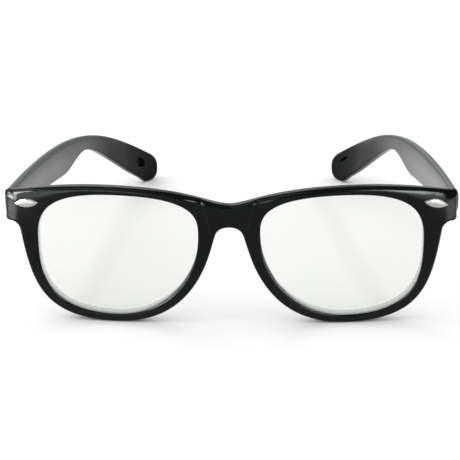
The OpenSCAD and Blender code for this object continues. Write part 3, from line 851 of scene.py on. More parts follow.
class TempleShape:
    """A temple's side outline, its path from above, and the drop of its two faces."""

    def __init__(self, layout):
        self.at = layout
        self.t = t = settings("temples")
        s = np.linspace(0, t.length + 3, 600)
        turn = self.turn(s)
        step = np.diff(s)
        middle = (turn[1:] + turn[:-1]) / 2
        run = np.concatenate([[0], np.cumsum(step * 1j * np.exp(1j * middle))])
        self.s = s
        self.path = complex(layout.temple_outer_x, layout.temple_y) + run

    def turn(self, s):
        """Direction of the outer face, from straight back, at a distance from the hinge."""
        t = self.t
        return t.toe_in + s / t.bow_r + np.clip(s - t.curl_at, 0, None) / t.curl_r

    def outline(self):
        """Matching places on the lower and the upper edge, from the root to the tip."""
        t, at = self.t, self.at
        slope, straight, step_sink, ear_sink = 0.052, 35, 3.5, 4.5
        tip_in, tip_rise, heel_in, end_rise, round_share = 13, 3.6, 5.5, 5.5, 0.76
        corner, notch_reach, bend_reach = 1.5 - 0.15j, 0.45 + 0.03j, 0.3
        ear_reach, tip_reach, back_reach, top_reach = 0.217, 0.332, 0.446, 0.337
        root_top = at.endpiece_z + t.root_h
        root = complex(0, at.endpiece_z)
        top0 = complex(straight, root_top - slope * straight)
        step = complex(t.step_at, root_top - step_sink - t.step_h)
        ear = complex(t.ear_at, top0.imag - ear_sink - t.ear_h)
        notch = t.ear_at - t.step_at
        down = complex(cos(t.tip_slope), -sin(t.tip_slope))
        tip_low = complex(t.length - tip_in, tip_rise)
        under = tip_low.real - t.ear_at
        heel = complex(t.length - heel_in, 0)
        bend = heel.real - tip_low.real
        tip_end = complex(t.length, end_rise)
        tip_top = tip_low + t.tip_h * 1j * down
        back = tip_top.real - straight
        end_up = 1j * round_share * end_rise
        lower = [
            even(np.array([root, step - corner]), 60),
            bezier(step - corner, step - corner / 3, step + 0.2 * notch_reach * notch / 3,
                   step + notch_reach * notch / 3, 10),
            bezier(step + notch_reach * notch / 3, step + 0.9 * notch_reach * notch,
                   ear - bend_reach * notch, ear, 26),
            bezier(ear, ear + ear_reach * under, tip_low - tip_reach * under * down, tip_low, 60),
            bezier(tip_low, tip_low + bend / 2 * down, heel - bend / 2, heel, 12),
            bezier(heel, heel + round_share * heel_in, tip_end - end_up, tip_end, 14),
        ]
        low = np.concatenate([*lower, [tip_end]])
        root_up = complex(0, root_top)
        end_count = 200
        high = np.concatenate([
            even(np.array([root_up, top0]), 200),
            bezier(top0, top0 + top_reach * back * complex(1, -slope),
                   tip_top - back_reach * back * down, tip_top, 600),
            bezier(tip_top, tip_top + round_share * heel_in * down, tip_end + end_up, tip_end,
                   end_count),
            [tip_end]])
        run = np.concatenate([[0], np.cumsum(abs(np.diff(high)))])
        # Distances along the upper edge that go with the six parts of the lower one
        marks_low = np.cumsum([0] + [len(p) for p in lower])
        at_top = len(high) - 1 - end_count
        marks_high = [0, 54, 60.5, 79, run[at_top] - 3, run[at_top] + 2, run[-1]]
        reach = np.interp(np.arange(len(low)), marks_low, marks_high)
        up = np.interp(reach, run, high.real) + 1j * np.interp(reach, run, high.imag)
        return low, up

    def tip_hole(self, p, side):
        """Signed distance into the small moulded recess in the tip's inner face."""
        # Middle, half length and half height of each tip's recess
        left = complex(130.6, 10.3), 3.4, self.t.left_mark
        right = complex(133.3, 10.8), 3.6, self.t.right_mark
        middle, half_w, half_h = left if side < 0 else right
        local = (p - middle) * np.exp(1j * self.t.tip_slope)
        return (1 - np.hypot(local.real / half_w, local.imag / half_h)) * half_h

    def grid(self, side):
        """Points and faces of the two faces and the edges. Their depths are codes as for the front."""
        low, up = self.outline()
        across = rows(20)
        flat = low[:, None] + across[None] * (up - low)[:, None]
        n, m = flat.shape
        bm = bmesh.new()
        outer = [[bm.verts.new((p.real, ON_FRONT, p.imag)) for p in column] for column in flat]
        inner = [[bm.verts.new((p.real, ON_BACK, p.imag)) for p in column] for column in flat]
        middle_low = [bm.verts.new((c[0].real, IN_WALL, c[0].imag)) for c in flat]
        middle_up = [bm.verts.new((c[-1].real, IN_WALL, c[-1].imag)) for c in flat]
        for j in range(n - 1):
            for k in range(m - 1):
                bm.faces.new((outer[j][k], outer[j + 1][k], outer[j + 1][k + 1], outer[j][k + 1]))
                bm.faces.new((inner[j][k], inner[j][k + 1], inner[j + 1][k + 1], inner[j + 1][k]))
            for rim, line in ((0, middle_low), (-1, middle_up)):
                bm.faces.new((outer[j][rim], line[j], line[j + 1], outer[j + 1][rim]))
                bm.faces.new((inner[j][rim], inner[j + 1][rim], line[j + 1], line[j]))
        for k in range(m - 1):
            end = [outer[0][k], outer[0][k + 1], inner[0][k + 1], inner[0][k]]
            if k == 0:
                end.append(middle_low[0])
            if k == m - 2:
                end.insert(2, middle_up[0])
            bm.faces.new(end)
        split_near(bm, ON_BACK, lambda p: abs(self.tip_hole(p, side)), FINE)
        return *points_and_faces(bm), low, up

    def placed(self, side):
        """Points and faces of a temple, for the right side."""
        t, at = self.t, self.at
        co, faces, low, up = self.grid(side)
        p = co[:, 0] + 1j * co[:, 2]
        code = co[:, 1]
        from_low, from_up = distance(p, low), distance(p, up)
        tip_from, tip_over, end_from, end_over = 34, 26, 14, 9
        tip = smooth((p.real - t.length + tip_from) / tip_over)
        end = smooth((p.real - t.length + end_from) / end_over)
        # Widths and depths of the soft oval edges, on the arm and at the tip
        outer_low = between(3, 2.4, tip), between(1.5, 1.7, tip)
        outer_up = between(3.2, t.edge_r, tip), between(1.35, t.edge_r, tip)
        inner_up = between(6, t.edge_r, tip), between(2.25, t.edge_r, tip)
        # The inner face's lower edge is crisper
        inner_low = between(t.low_edge_r, t.edge_r, end)
        outer_drop = np.maximum(oval_edge(from_low, *outer_low), oval_edge(from_up, *outer_up))
        inner_drop = np.maximum(rounding(from_low, inner_low), oval_edge(from_up, *inner_up))
        hole_deep, lip, lip_out = 1.5, 0.45, 0.3
        depth = (outer_drop + t.thickness - inner_drop) / 2
        outer_face, inner_face = code == ON_FRONT, code == ON_BACK
        depth[outer_face] = outer_drop[outer_face]
        in_hole = smooth(self.tip_hole(p, side) / lip + lip_out)
        depth[inner_face] = (t.thickness - inner_drop - hole_deep * in_hole)[inner_face]
        s = p.real
        turn = self.turn(s)
        on_path = np.interp(s, self.s, self.path.real) + 1j * np.interp(s, self.s, self.path.imag)
        square_end = 20
        placed = on_path - depth * (np.cos(turn) + 1j * np.sin(turn) * smooth(s / square_end))
        # The knuckle's space is cut from the front inner corner
        axis = complex(at.hinge_x, at.hinge_y)
        away = placed - axis
        cut = (abs(away) < at.space_r) & (abs(p.imag - at.hinge_z) < at.space_h / 2)
        pushed = axis + away / np.maximum(abs(away), 1e-6) * at.space_r
        placed = np.where(cut, pushed, placed)
        # The inner face and the lower edge grow duller towards the tip, and the recess is dull
        dull_w = 2
        gloss = np.interp(s, (48, 80, 104), (0.95, 0.62, 0.03))
        gloss = np.where(outer_face, 1 - (1 - gloss) * smooth(1 - from_low / dull_w), gloss)
        gloss = np.where(inner_face, gloss * (1 - in_hole), gloss)
        return np.stack([placed.real, placed.imag, p.imag], 1), faces, gloss


class GLASSES_OT_temples(Operator):
    """Builds the two black temples, from the hinge to the wide curled tip"""
    bl_idname = "glasses.temples"
    bl_label = "Temples"

    def execute(self, context):
        shape = TempleShape(Layout())
        plastic = black_plastic("temple_black", shape.t.tint, True)
        for name, side in SIDES.items():
            points, faces, gloss = shape.placed(side)
            mesh = new_mesh("temple", points, faces, side)
            mesh.attributes.new("gloss", "FLOAT", "POINT").data.foreach_set("value", gloss)
            outwards(mesh)
            finish_piece("temple_shell_" + name, mesh, plastic, name + "_temple",
                         "temple_plastic", "temple_" + name)
        return {"FINISHED"}


# Finishes

class Value:
    """A number or a colour in a node tree. Python's signs on it add Math nodes."""

    def __init__(self, finish, socket):
        self.finish, self.socket = finish, socket

    def math(self, operation, *values):
        return self.finish.math(operation, *values)

    def __add__(self, other):
        return self.math("ADD", self, other)

    def __radd__(self, other):
        return self.math("ADD", other, self)

    def __sub__(self, other):
        return self.math("SUBTRACT", self, other)

    def __rsub__(self, other):
        return self.math("SUBTRACT", other, self)

    def __mul__(self, other):
        return self.math("MULTIPLY", self, other)

    def __rmul__(self, other):
        return self.math("MULTIPLY", other, self)

    def clamp(self):
        return self.math("MAXIMUM", self.math("MINIMUM", self, 1), 0)


class Finish:
    """A node tree that is written with plain calls."""

    def __init__(self, owner):
        owner.use_nodes = True
        self.tree = owner.node_tree
        self.tree.nodes.clear()

    def node(self, kind, setup=None, inputs=None, output=0):
        """Adds a node, sets it up, then feeds its inputs, and gives back one of its outputs."""
        node = self.tree.nodes.new(kind)
        for key, value in (setup or {}).items():
            if key == "stops":
                ramp = node.color_ramp
                while len(ramp.elements) < len(value):
                    ramp.elements.new(0.5)
                for element, (place, shade) in zip(ramp.elements, value):
                    element.position = place
                    element.color = (*shade, 1) if isinstance(shade, tuple) else (shade,) * 3 + (1,)
            else:
                setattr(node, key, value)
        for key, value in (inputs or {}).items():
            if isinstance(value, Value):
                self.tree.links.new(value.socket, node.inputs[key])
            else:
                if isinstance(value, tuple) and len(value) == 3 and node.inputs[key].type == "RGBA":
                    value = (*value, 1)
                node.inputs[key].default_value = value
        return Value(self, node.outputs[output])

    def math(self, operation, *values):
        return self.node("ShaderNodeMath", {"operation": operation}, dict(enumerate(values)))

    def place(self, scale=(1, 1, 1), turn=(0, 0, 0), move=(0, 0, 0)):
        """Object coordinates in metres, scaled, turned and moved."""
        place = self.node("ShaderNodeTexCoord", output="Object")
        return self.node("ShaderNodeMapping", {}, {"Vector": place, "Scale": scale,
                                                   "Rotation": turn, "Location": move})

    def noise(self, place, scale, detail=3, rough=0.5):
        return self.node("ShaderNodeTexNoise", {}, {"Vector": place, "Scale": scale,
                                                    "Detail": detail, "Roughness": rough})

    def ramp(self, value, stops):
        return self.node("ShaderNodeValToRGB", {"stops": stops}, {"Fac": value})

    def mix(self, share, a, b):
        """Mixes two colours."""
        return self.node("ShaderNodeMix", {"data_type": "RGBA"}, {0: share, 6: a, 7: b}, 2)

    def bump(self, height, strength, depth):
        return self.node("ShaderNodeBump", {}, {"Height": height, "Strength": strength,
                                                "Distance": depth})

    def part(self, vector, index):
        """One of the three numbers of a vector."""
        return self.node("ShaderNodeSeparateXYZ", {}, {0: vector}, index)

    def stored(self, name):
        """A number that is stored with the mesh's points."""
        return self.node("ShaderNodeAttribute", {"attribute_name": name}, {}, "Fac")

    def ray(self, kind):
        """1 for the rays of one kind, and 0 for all others."""
        return self.node("ShaderNodeLightPath", output=kind)

    def principled(self, look):
        return self.node("ShaderNodeBsdfPrincipled", {}, look)

    def surface(self, shader):
        kind = "ShaderNodeOutputWorld" if isinstance(self.tree.id_data, bpy.types.World) else (
            "ShaderNodeOutputMaterial")
        out = self.tree.nodes.new(kind)
        self.tree.links.new(shader.socket, out.inputs["Surface"])


def material(name):
    """A new material and its empty finish."""
    made = bpy.data.materials.new(name)
    return made, Finish(made)


def black_plastic(name, tint, uneven=False):
    """Glossy black moulded plastic: slight waves, faint smears and fine scratches.
    An uneven one is as glossy as the piece's gloss attribute says."""
    made, n = material(name)
    place = n.place()
    waves = n.noise(place, 160, 2)
    smear = n.ramp(n.noise(n.place((1, 1, 2.6), (0, 0.5, 0)), 70, 5, 0.6), ((0.42, 0.0), (0.72, 1.0)))
    grain = n.noise(place, 2400, 2)
    scratch = n.ramp(n.noise(n.place((30, 30, 900), (0, 0.35, 0.2)), 12, 2), ((0.66, 0.0), (0.74, 1.0)))
    shade = n.mix(smear * 0.5, tint, tuple(c * 1.7 for c in tint))
    rough = 0.08 + smear * 0.09 + scratch * 0.05 + grain * 0.02
    look = {"IOR": 1.49, "Specular IOR Level": 0.32}
    if uneven:
        look = {"IOR": 1.49, "Specular IOR Level": 0.05, "Coat Roughness": 0.14, "Coat IOR": 1.49,
                "Coat Weight": n.stored("gloss") * (1 - smear * 0.12)}
    relief = n.node("ShaderNodeBump", {}, {
        "Height": grain + scratch * -0.3, "Strength": 0.05, "Distance": 0.00002,
        "Normal": n.bump(waves, 0.12, 0.0002)})
    n.surface(n.principled({"Base Color": shade, "Roughness": rough, "Normal": relief, **look}))
    return made


def lens_plastic(l):
    """Clear lens plastic, a little hazy, with faint painted slanted streaks of darker reflection and a
    painted light band along its lower and outer edge, which shows the lens's lit edge as seen through
    it.
    """
    made, n = material("lens_clear")
    place = n.place()
    across, up = n.part(place, 0), n.part(place, 2)
    # Painted reflection: a darker slanted streak across each lens at a given place, mixed with faint
    # random cloudiness
    streak_x, streak_z, lean, half_w = 0.0385, 0.025, 0.52, 0.0052
    soft = n.noise(n.place((1, 1, 0.3)), 90, 3, 0.5)
    off = n.math("ABSOLUTE", across) - streak_x + (up - streak_z) * lean + (soft - 0.5) * 0.006
    painted_streak = n.ramp(n.math("ABSOLUTE", off) * (1 / half_w), ((0.25, 1.0), (1.0, 0.0)))
    cloud = n.ramp(n.noise(place, 60, 3, 0.55), ((0.45, 0.0), (0.8, 1.0)))
    haze = (painted_streak * 0.7 + cloud * 0.15).clamp()
    through = n.node("ShaderNodeBsdfTransparent", {}, {"Color": l.tint})
    # A solid lens that doesn't bend the light: its far face must not mirror all light as glass would
    facing = n.node("ShaderNodeLayerWeight", {}, {"Blend": 0.5}, "Facing")
    glance = n.math("POWER", facing, 5)
    depth = n.stored("edge_depth")
    # Painted light: a pale band along the lower and outer edge that shows the lens's lit edge in its
    # groove as seen through the lens
    painted_edge_light = n.ramp(depth, ((0.0, 1.0), (0.72, 0.9), (0.78, 1.0), (0.86, 0.35), (1.0, 0.0)))
    painted_edge_light = painted_edge_light * n.stored("edge_band")
    # The thin dark lines inside the band are painted shade along the lens's edge
    line = n.ramp(depth, ((0.0, 0.0), (0.30, 0.0), (0.36, 1.0), (0.42, 0.0), (0.7, 0.0),
                          (0.78, 0.8), (0.86, 0.0)))
    dust = n.noise(place, 900, 3)
    film = n.mix(painted_edge_light, n.mix(dust, l.haze, tuple(c * 0.8 for c in l.haze)), l.rim_tint)
    film = n.mix(line * painted_edge_light, film, (0.20, 0.27, 0.22))
    coat = n.principled({"Base Color": film, "Roughness": 0.05 + haze * 0.1 + painted_edge_light * 0.3,
                         "IOR": 1.45, "Specular IOR Level": 0.5})
    n.surface(n.node("ShaderNodeMixShader", {}, {
        0: (glance * 0.6 + 0.022 + haze * 0.055 + painted_edge_light * 0.45).clamp(), 1: through, 2: coat}))
    return made


def stud_metal(tint):
    """Polished silver plating, a little worn and uneven."""
    made, n = material("stud_silver")
    wear = n.ramp(n.noise(n.place(), 700, 4, 0.6), ((0.35, 0.0), (0.7, 1.0)))
    relief = n.bump(n.noise(n.place(), 900, 3), 0.07, 0.00006)
    n.surface(n.principled({
        "Base Color": n.mix(wear, tint, tuple(c * 0.8 for c in tint)),
        "Metallic": 0.6, "Roughness": 0.2 + wear * 0.1, "Normal": relief}))
    return made


def hinge_steel(name, tint, rough):
    """Stamped steel with fine drawn lines."""
    made, n = material(name)
    lines = n.noise(n.place((60, 60, 2200)), 3, 4, 0.7)
    spots = n.noise(n.place(), 500, 3)
    n.surface(n.principled({
        "Base Color": n.mix(spots, tuple(c * 0.75 for c in tint), tint),
        "Metallic": 1.0, "Roughness": rough + lines * 0.15, "Normal": n.bump(lines, 0.2, 0.00003)}))
    return made


# Hinges

def to_mesh(piece):
    """The plain mesh of an object with its modifiers applied. The object is removed."""
    bpy.context.view_layer.update()
    ready = piece.evaluated_get(bpy.context.evaluated_depsgraph_get())
    mesh = bpy.data.meshes.new_from_object(ready)
    piece.modifiers.clear()
    bpy.data.objects.remove(piece)
    return mesh


def knuckle_nodes():
    """Node tree for a row of hinge knuckles: bevelled tubes along Z."""
    tree = bpy.data.node_groups.new("hinge_knuckles", "GeometryNodeTree")
    sockets = (("Diameter", "NodeSocketFloat", 0.003), ("Bore", "NodeSocketFloat", 0.0014),
               ("Height", "NodeSocketFloat", 0.0018), ("Pitch", "NodeSocketFloat", 0.004),
               ("Count", "NodeSocketInt", 2), ("Bevel", "NodeSocketFloat", 0.00015),
               ("Finish", "NodeSocketMaterial", None))
    for name, kind, value in sockets:
        socket = tree.interface.new_socket(name, in_out="INPUT", socket_type=kind)
        if value is not None:
            socket.default_value = value
    tree.interface.new_socket("Geometry", in_out="OUTPUT", socket_type="NodeSocketGeometry")
    nodes, links = tree.nodes, tree.links

    def add(kind, inputs, setup=None):
        """Adds a node, sets it up, feeds its inputs, and gives back its first output."""
        node = nodes.new(kind)
        for key, value in (setup or {}).items():
            setattr(node, key, value)
        for key, value in inputs.items():
            if hasattr(value, "links"):
                links.new(value, node.inputs[key])
            else:
                node.inputs[key].default_value = value
        return node.outputs[0]

    def maths(operation, a, b):
        return add("ShaderNodeMath", {0: a, 1: b}, {"operation": operation})

    # The tube's wall is a rounded rectangle that is swept round a circle
    given = nodes.new("NodeGroupInput").outputs
    both = given["Diameter"], given["Bore"]
    circle = add("GeometryNodeCurvePrimitiveCircle",
                 {"Resolution": 40, "Radius": maths("DIVIDE", maths("ADD", *both), 4)})
    wall = add("GeometryNodeCurvePrimitiveQuadrilateral",
               {"Width": maths("DIVIDE", maths("SUBTRACT", *both), 2), "Height": given["Height"]})
    wall = add("GeometryNodeFilletCurve", {0: wall, "Radius": given["Bevel"], "Count": 3},
               {"mode": "POLY"})
    tube = add("GeometryNodeCurveToMesh", {"Curve": circle, "Profile Curve": wall})
    up = add("ShaderNodeCombineXYZ", {"Z": given["Pitch"]})
    line = add("GeometryNodeMeshLine", {"Count": given["Count"], "Offset": up})
    spread = add("GeometryNodeInstanceOnPoints", {"Points": line, "Instance": tube})
    real = add("GeometryNodeRealizeInstances", {0: spread})
    painted = add("GeometryNodeSetMaterial", {"Geometry": real, "Material": given["Finish"]})
    out = nodes.new("NodeGroupOutput")
    links.new(painted, out.inputs[0])
    return tree


def knuckles(tree, **values):
    """The mesh of a row of knuckles, made by the node tree."""
    piece = new_object("knuckles", bpy.data.meshes.new("knuckles"))
    modifier = piece.modifiers.new("knuckles", "NODES")
    modifier.node_group = tree
    for item in tree.interface.items_tree:
        if item.in_out == "INPUT" and item.name in values:
            modifier[item.identifier] = values[item.name]
    return to_mesh(piece)


def bevelled_boxes(boxes, bevel, unit=1):
    """Mesh of boxes given by low and high corners, each with bevelled edges, scaled by a unit."""
    bm = bmesh.new()
    for low, high in boxes:
        low, high = Vector(low) * unit, Vector(high) * unit
        made = bmesh.ops.create_cube(bm, size=1)["verts"]
        grow = Matrix.Diagonal((*(high - low), 1))
        bmesh.ops.transform(bm, verts=made, matrix=Matrix.Translation((low + high) / 2) @ grow)
    mesh = bpy.data.meshes.new("boxes")
    bm.to_mesh(mesh)
    bm.free()
    piece = new_object("boxes", mesh)
    round_off = piece.modifiers.new("bevel", "BEVEL")
    round_off.width = bevel * unit
    round_off.segments = 2
    return to_mesh(piece)


def joined(parts):
    """One mesh from several meshes, each with the matrix that places it."""
    bm = bmesh.new()
    for mesh, matrix in parts:
        piece = mesh.copy()
        piece.transform(matrix)
        if matrix.is_negative:
            piece.flip_normals()
        bm.from_mesh(piece)
        bpy.data.meshes.remove(piece)
    mesh = bpy.data.meshes.new("joined")
    bm.to_mesh(mesh)
    bm.free()
    return mesh


def bar_mesh(r, z0, z1, bevel):
    """Mesh of an upright round bar, in metres."""
    points, faces = round_bar(r, z0, z1, bevel)
    mesh = bpy.data.meshes.new("bar")
    mesh.from_pydata((points * MM).tolist(), [], faces)
    outwards(mesh)
    return mesh


class GLASSES_OT_hinges(Operator):
    """Builds the two three-knuckle hinges: leaves, knuckles, pins and slotted screws"""
    bl_idname = "glasses.hinges"
    bl_label = "Hinges"

    def execute(self, context):
        at = Layout()
        h, t = at.hinges, settings("temples")
        steel = hinge_steel("hinge_steel", h.steel, 0.25)
        bright = hinge_steel("screw_steel", h.screw, 0.18)
        tree = knuckle_nodes()
        bevel = 0.15
        bore = (h.screw_d + 2 * h.screw_clear) * MM
        shared = {"Diameter": h.knuckle_d * MM, "Bore": bore, "Bevel": bevel * MM, "Finish": steel}
        outer = knuckles(tree, Height=h.front_knuckle_h * MM, Count=2,
                         Pitch=(at.hinge_h - h.front_knuckle_h) * MM, **shared)
        middle = knuckles(tree, Height=h.temple_knuckle_h * MM, Count=1, Pitch=0.0, **shared)
        axis = Matrix.Translation(Vector((at.hinge_x, at.hinge_y, at.hinge_z)) * MM)
        low = Matrix.Translation((0, 0, (h.front_knuckle_h - at.hinge_h) / 2 * MM))
        arm_w, arm_out, arm_over, root_gap = 1.1, 0.7, 0.4, 0.2
        seat = at.seat_y - at.hinge_y
        plate = [((-h.front_leaf_len, seat - h.leaf_t, -h.leaf_h / 2), (0, seat, h.leaf_h / 2))]
        inner_r = h.screw_d / 2 + h.screw_clear
        arms = [((-arm_w, seat - h.leaf_t / 2, z), (-inner_r, 0, z + h.front_knuckle_h))
                for z in (-at.hinge_h / 2, at.hinge_h / 2 - h.front_knuckle_h)]
        leaf_bevel, pin_bevel = 0.08, 0.12
        front_leaf = bevelled_boxes(plate + arms, leaf_bevel, MM)
        pin = bar_mesh(h.pin_d / 2, 0, h.pin_len + h.leaf_t / 2, pin_bevel)
        pin_back = Matrix.Rotation(pi / 2, 4, "X")
        front_parts = [(outer, axis @ low), (front_leaf, axis)]
        pin_edge, pin_pitch = 1.5, 2.8
        for i in (0, 1):
            where = Vector((-h.front_leaf_len + pin_edge + pin_pitch * i, seat - h.leaf_t / 2, 0)) * MM
            front_parts.append((pin, axis @ Matrix.Translation(where) @ pin_back))
        y0 = at.space_r + at.hinge_y - at.temple_y + root_gap
        along = (Matrix.Translation(Vector((at.temple_inner_x, at.temple_y, at.hinge_z)) * MM)
                 @ Matrix.Rotation(t.toe_in, 4, "Z"))
        skin = 1.4
        leaf = [((skin, y0, -h.leaf_h / 2), (skin + h.leaf_t, y0 + h.temple_leaf_len, h.leaf_h / 2)),
                ((-arm_out, at.hinge_y - at.temple_y + inner_r, -h.temple_knuckle_h / 2),
                 (skin + h.leaf_t, at.hinge_y - at.temple_y + at.space_r + arm_over,
                  h.temple_knuckle_h / 2))]
        temple_leaf = bevelled_boxes(leaf, leaf_bevel, MM)
        temple_parts = [(middle, axis), (temple_leaf, along)]
        pin_edge, pin_pitch = 3, 4.4
        pin_side = Matrix.Rotation(pi / 2, 4, "Y")
        for i in (0, 1):
            where = Vector((skin + h.leaf_t / 2, y0 + pin_edge + pin_pitch * i, 0)) * MM
            temple_parts.append((pin, along @ Matrix.Translation(where) @ pin_side))
        into_head, shank_bevel = 0.1, 0.1
        shank = bar_mesh(h.screw_d / 2, -at.hinge_h / 2, at.hinge_h / 2 + into_head, shank_bevel)
        head = slotted_head(h)
        lift = Matrix.Translation((0, 0, at.hinge_h / 2 * MM))
        screw_parts = [(shank, axis), (head, axis @ lift)]
        centre = Matrix.Translation((0, FACE_Y * MM, 0))
        for name, side in SIDES.items():
            flip = Matrix.Diagonal((side, 1, 1, 1))
            for parts, what, body, slot, node, finish in (
                    (front_parts, "front_leaf_", "front", "hinge_metal", "front_hinge_leaf_", steel),
                    (temple_parts, "temple_leaf_", name + "_temple", "hinge_metal",
                     "temple_hinge_leaf_", steel),
                    (screw_parts, "slotted_screw_", "front", "screw_metal", "hinge_screw_", bright)):
                mesh = joined([(m, centre @ flip @ matrix) for m, matrix in parts])
                finish_piece(what + name, mesh, finish, body, slot, node + name, sharp=30)
        return {"FINISHED"}


def slotted_head(h):
    """A screw's low domed head, from its underside, with a slot across it."""
    slot_w, slot_d, slot_bevel = 0.35, 0.3, 0.04
    dome, low_bevel, top_bevel = 0.08, 0.1, 0.12
    r, side_h = h.head_d / 2, h.head_h - dome
    profile = ((r - low_bevel, 0), (r, low_bevel), (r, side_h - top_bevel), (r - top_bevel, side_h),
               (r * 0.5, h.head_h - dome * 0.25))
    points, faces = closed_rings([ring(q, z, 48) for q, z in profile], (0, 0, 0), (0, 0, h.head_h))
    mesh = bpy.data.meshes.new("head")
    mesh.from_pydata(points.tolist(), [], faces)
    outwards(mesh)
    head = new_object("head", mesh)
    low, high = (-r * 2, -slot_w / 2, h.head_h - slot_d), (r * 2, slot_w / 2, h.head_h * 2)
    tool = new_object("blade", bevelled_boxes([(low, high)], slot_bevel))
    cut = head.modifiers.new("slot", "BOOLEAN")
    cut.operation = "DIFFERENCE"
    cut.object = tool
    made = to_mesh(head)
    bpy.data.objects.remove(tool)
    made.transform(Matrix.Diagonal((MM, MM, MM, 1)))
    return made


# Studio

class GLASSES_OT_studio(Operator):
    """Sets the camera, the plain floor and the soft light"""
    bl_idname = "glasses.studio"
    bl_label = "Studio"

    def execute(self, context):
        s = settings("studio")
        scene = context.scene
        camera = new_object("camera", bpy.data.cameras.new("camera"))
        yaw, pitch, roll = -s.camera_yaw, s.camera_pitch, s.camera_roll
        ahead = Vector((sin(yaw) * cos(pitch), cos(yaw) * cos(pitch), -sin(pitch)))
        right = Vector((cos(yaw), -sin(yaw), 0))
        up = right.cross(ahead)
        right, up = right * cos(roll) + up * sin(roll), up * cos(roll) - right * sin(roll)
        place = Matrix((right, up, -ahead)).transposed().to_4x4()
        place.translation = Vector((s.camera_x, FACE_Y - s.camera_y, s.camera_z)) * MM
        camera.matrix_world = place
        camera.data.lens = s.focal
        camera.data.clip_start = 0.01
        scene.camera = camera

        half, below = 4.0, 0.05 * MM
        mesh = bpy.data.meshes.new("floor")
        mesh.from_pydata([(-half, -half, 0), (half, -half, 0), (half, half, 0), (-half, half, 0)],
                         [], [(0, 1, 2, 3)])
        mesh.materials.append(floor_finish(s.floor))
        floor = new_object("floor", mesh)
        floor.location.z = -below

        lamps = (
            # name, place, what it faces, width, height, power
            ("lamp_left", (-0.75, -0.1, 0.75), (0, 0, 0.02), 0.5, 0.5, 1.8),
            ("lamp_back", (-0.3, 0.8, 0.75), (0, 0, 0.02), 0.6, 0.3, 1.2),
        )
        for name, where, target, width, height, power in lamps:
            light = bpy.data.lights.new(name, "AREA")
            light.shape = "RECTANGLE"
            light.size, light.size_y, light.energy = width, height, power
            lamp = new_object(name, light)
            lamp.location = where
            aim = Vector(target) - Vector(where)
            lamp.rotation_euler = aim.to_track_quat("-Z", "Y").to_euler()
        scene.world = bpy.data.worlds.new("studio")
        studio_world(scene.world)
        scene.view_settings.view_transform = "Standard"
        return {"FINISHED"}


def floor_finish(tint):
    """Plain pale floor that looks white to the camera and keeps the object's shadow.
    In reflections only, painted shade lies ahead of the glasses, and a painted pool of light, brighter
    than white, lies on each side."""
    made, n = material("studio_floor")
    place = n.place()
    across, depth = n.part(place, 0), n.part(place, 1)
    # Painted shade: in reflections the floor is darker ahead of the glasses
    ahead = n.ramp(n.math("ABSOLUTE", across) * 4, ((0.4, 1.0), (0.6, 0.0)))
    front = n.ramp(depth * 2 + 0.5, ((0.25, 1.0), (0.55, 0.0))) * ahead
    mirror = n.mix(front, (0.95, 0.95, 0.95), (0.3, 0.3, 0.3))
    # Painted light: two pools on the floor, brighter than white, that only reflections see
    bright_y, bright_r = -0.155, 0.07
    for bright_x, level in ((-0.205, 4.6), (0.205, 2.4)):
        off_x, off_y = (across - bright_x) * (1 / bright_r), (depth - bright_y) * (1 / bright_r)
        bright = n.ramp(off_x * off_x + off_y * off_y, ((0.2, 1.0), (1.0, 0.0)))
        mirror = n.mix(bright, mirror, (level, level, level))
    shade = n.mix(n.ray("Is Glossy Ray"), tint, mirror)
    shade = n.mix(n.ray("Is Camera Ray"), shade, (1, 1, 1))
    n.surface(n.node("ShaderNodeBsdfDiffuse", {}, {"Color": shade}))
    return made


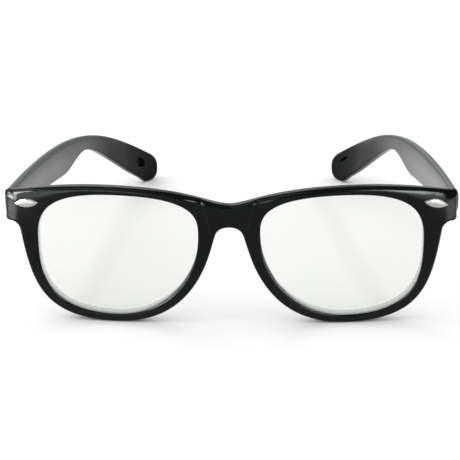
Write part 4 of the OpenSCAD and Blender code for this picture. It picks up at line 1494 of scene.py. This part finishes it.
def studio_world(world):
    """Even light all round. In reflections it is a dark room with a few soft boxes."""
    n = Finish(world)
    glossy = n.ray("Is Glossy Ray")
    where = n.node("ShaderNodeTexCoord", output="Generated")
    # Degrees to the left of straight ahead of the glasses, degrees up, half width, soft edge, strength
    boxes = ((27, 12, 13, 9, 2.6), (57, 7, 3, 12, 9.0), (57, 27, 7, 8, 27.0), (66, 6, 12, 10, 5.0),
             (-31, 8, 12, 8, 2.0), (-26, 24, 5, 8, 13.0), (162, 26, 11, 9, 0.6),
             (-168, 22, 5, 4, 0.8), (60, 72, 8, 6, 1.2))
    seen = 0.03
    for across, up, half, soft, strength in boxes:
        across, up = radians(across), radians(up)
        aim = (-sin(across) * cos(up), -cos(across) * cos(up), sin(up))
        near = n.node("ShaderNodeVectorMath", {"operation": "DOT_PRODUCT"}, {0: where, 1: aim}, "Value")
        inner, outer = cos(radians(half)), cos(radians(half + soft))
        seen = ((near - outer) * (1 / (inner - outer))).clamp() * strength + seen
    # The low backdrop behind the glasses
    backdrop = 0.75
    behind = n.ramp(n.part(where, 1), ((0.3, 0.0), (0.7, 1.0)))
    low = n.ramp(n.part(where, 2), ((0.2, 1.0), (0.6, 0.0)))
    seen = seen + behind * low * backdrop
    level = 0.97
    strength = n.node("ShaderNodeMix", {"data_type": "FLOAT"}, {0: glossy, 2: level, 3: seen})
    shown = (n.ray("Is Camera Ray") + n.ray("Is Transmission Ray")).clamp()
    strength = n.node("ShaderNodeMix", {"data_type": "FLOAT"}, {0: shown, 2: strength, 3: 1.0})
    shade = n.mix(glossy, (1, 1, 1), (0.93, 0.98, 1.0))
    n.surface(n.node("ShaderNodeBackground", {}, {"Color": n.mix(shown, shade, (1, 1, 1)),
                                                  "Strength": strength}))


# Add-on

class GLASSES_PT_panel(Panel):
    """Lists the builders of the costume glasses and their settings."""
    bl_label = "Costume glasses"
    bl_idname = "GLASSES_PT_panel"
    bl_space_type = "VIEW_3D"
    bl_region_type = "UI"
    bl_category = "Glasses"

    def draw(self, context):
        for step in STEPS:
            box = self.layout.box()
            box.operator("glasses." + step)
            group = getattr(context.scene.glasses, step, None)
            for key in getattr(group, "__annotations__", {}):
                box.prop(group, key)


STEPS = ("front", "lenses", "studs", "temples", "hinges", "studio")
CLASSES = (
    GLASSES_PG_front, GLASSES_PG_lenses, GLASSES_PG_studs, GLASSES_PG_temples, GLASSES_PG_hinges,
    GLASSES_PG_studio, GLASSES_PG_settings, GLASSES_OT_front, GLASSES_OT_lenses, GLASSES_OT_studs,
    GLASSES_OT_temples, GLASSES_OT_hinges, GLASSES_OT_studio, GLASSES_PT_panel)


def register():
    for cls in CLASSES:
        bpy.utils.register_class(cls)
    bpy.types.Scene.glasses = PointerProperty(type=GLASSES_PG_settings)


def unregister():
    del bpy.types.Scene.glasses
    for cls in reversed(CLASSES):
        bpy.utils.unregister_class(cls)


def main():
    """Builds everything."""
    register()
    for step in STEPS:
        getattr(bpy.ops.glasses, step)()


if __name__ == "__main__":
    main()
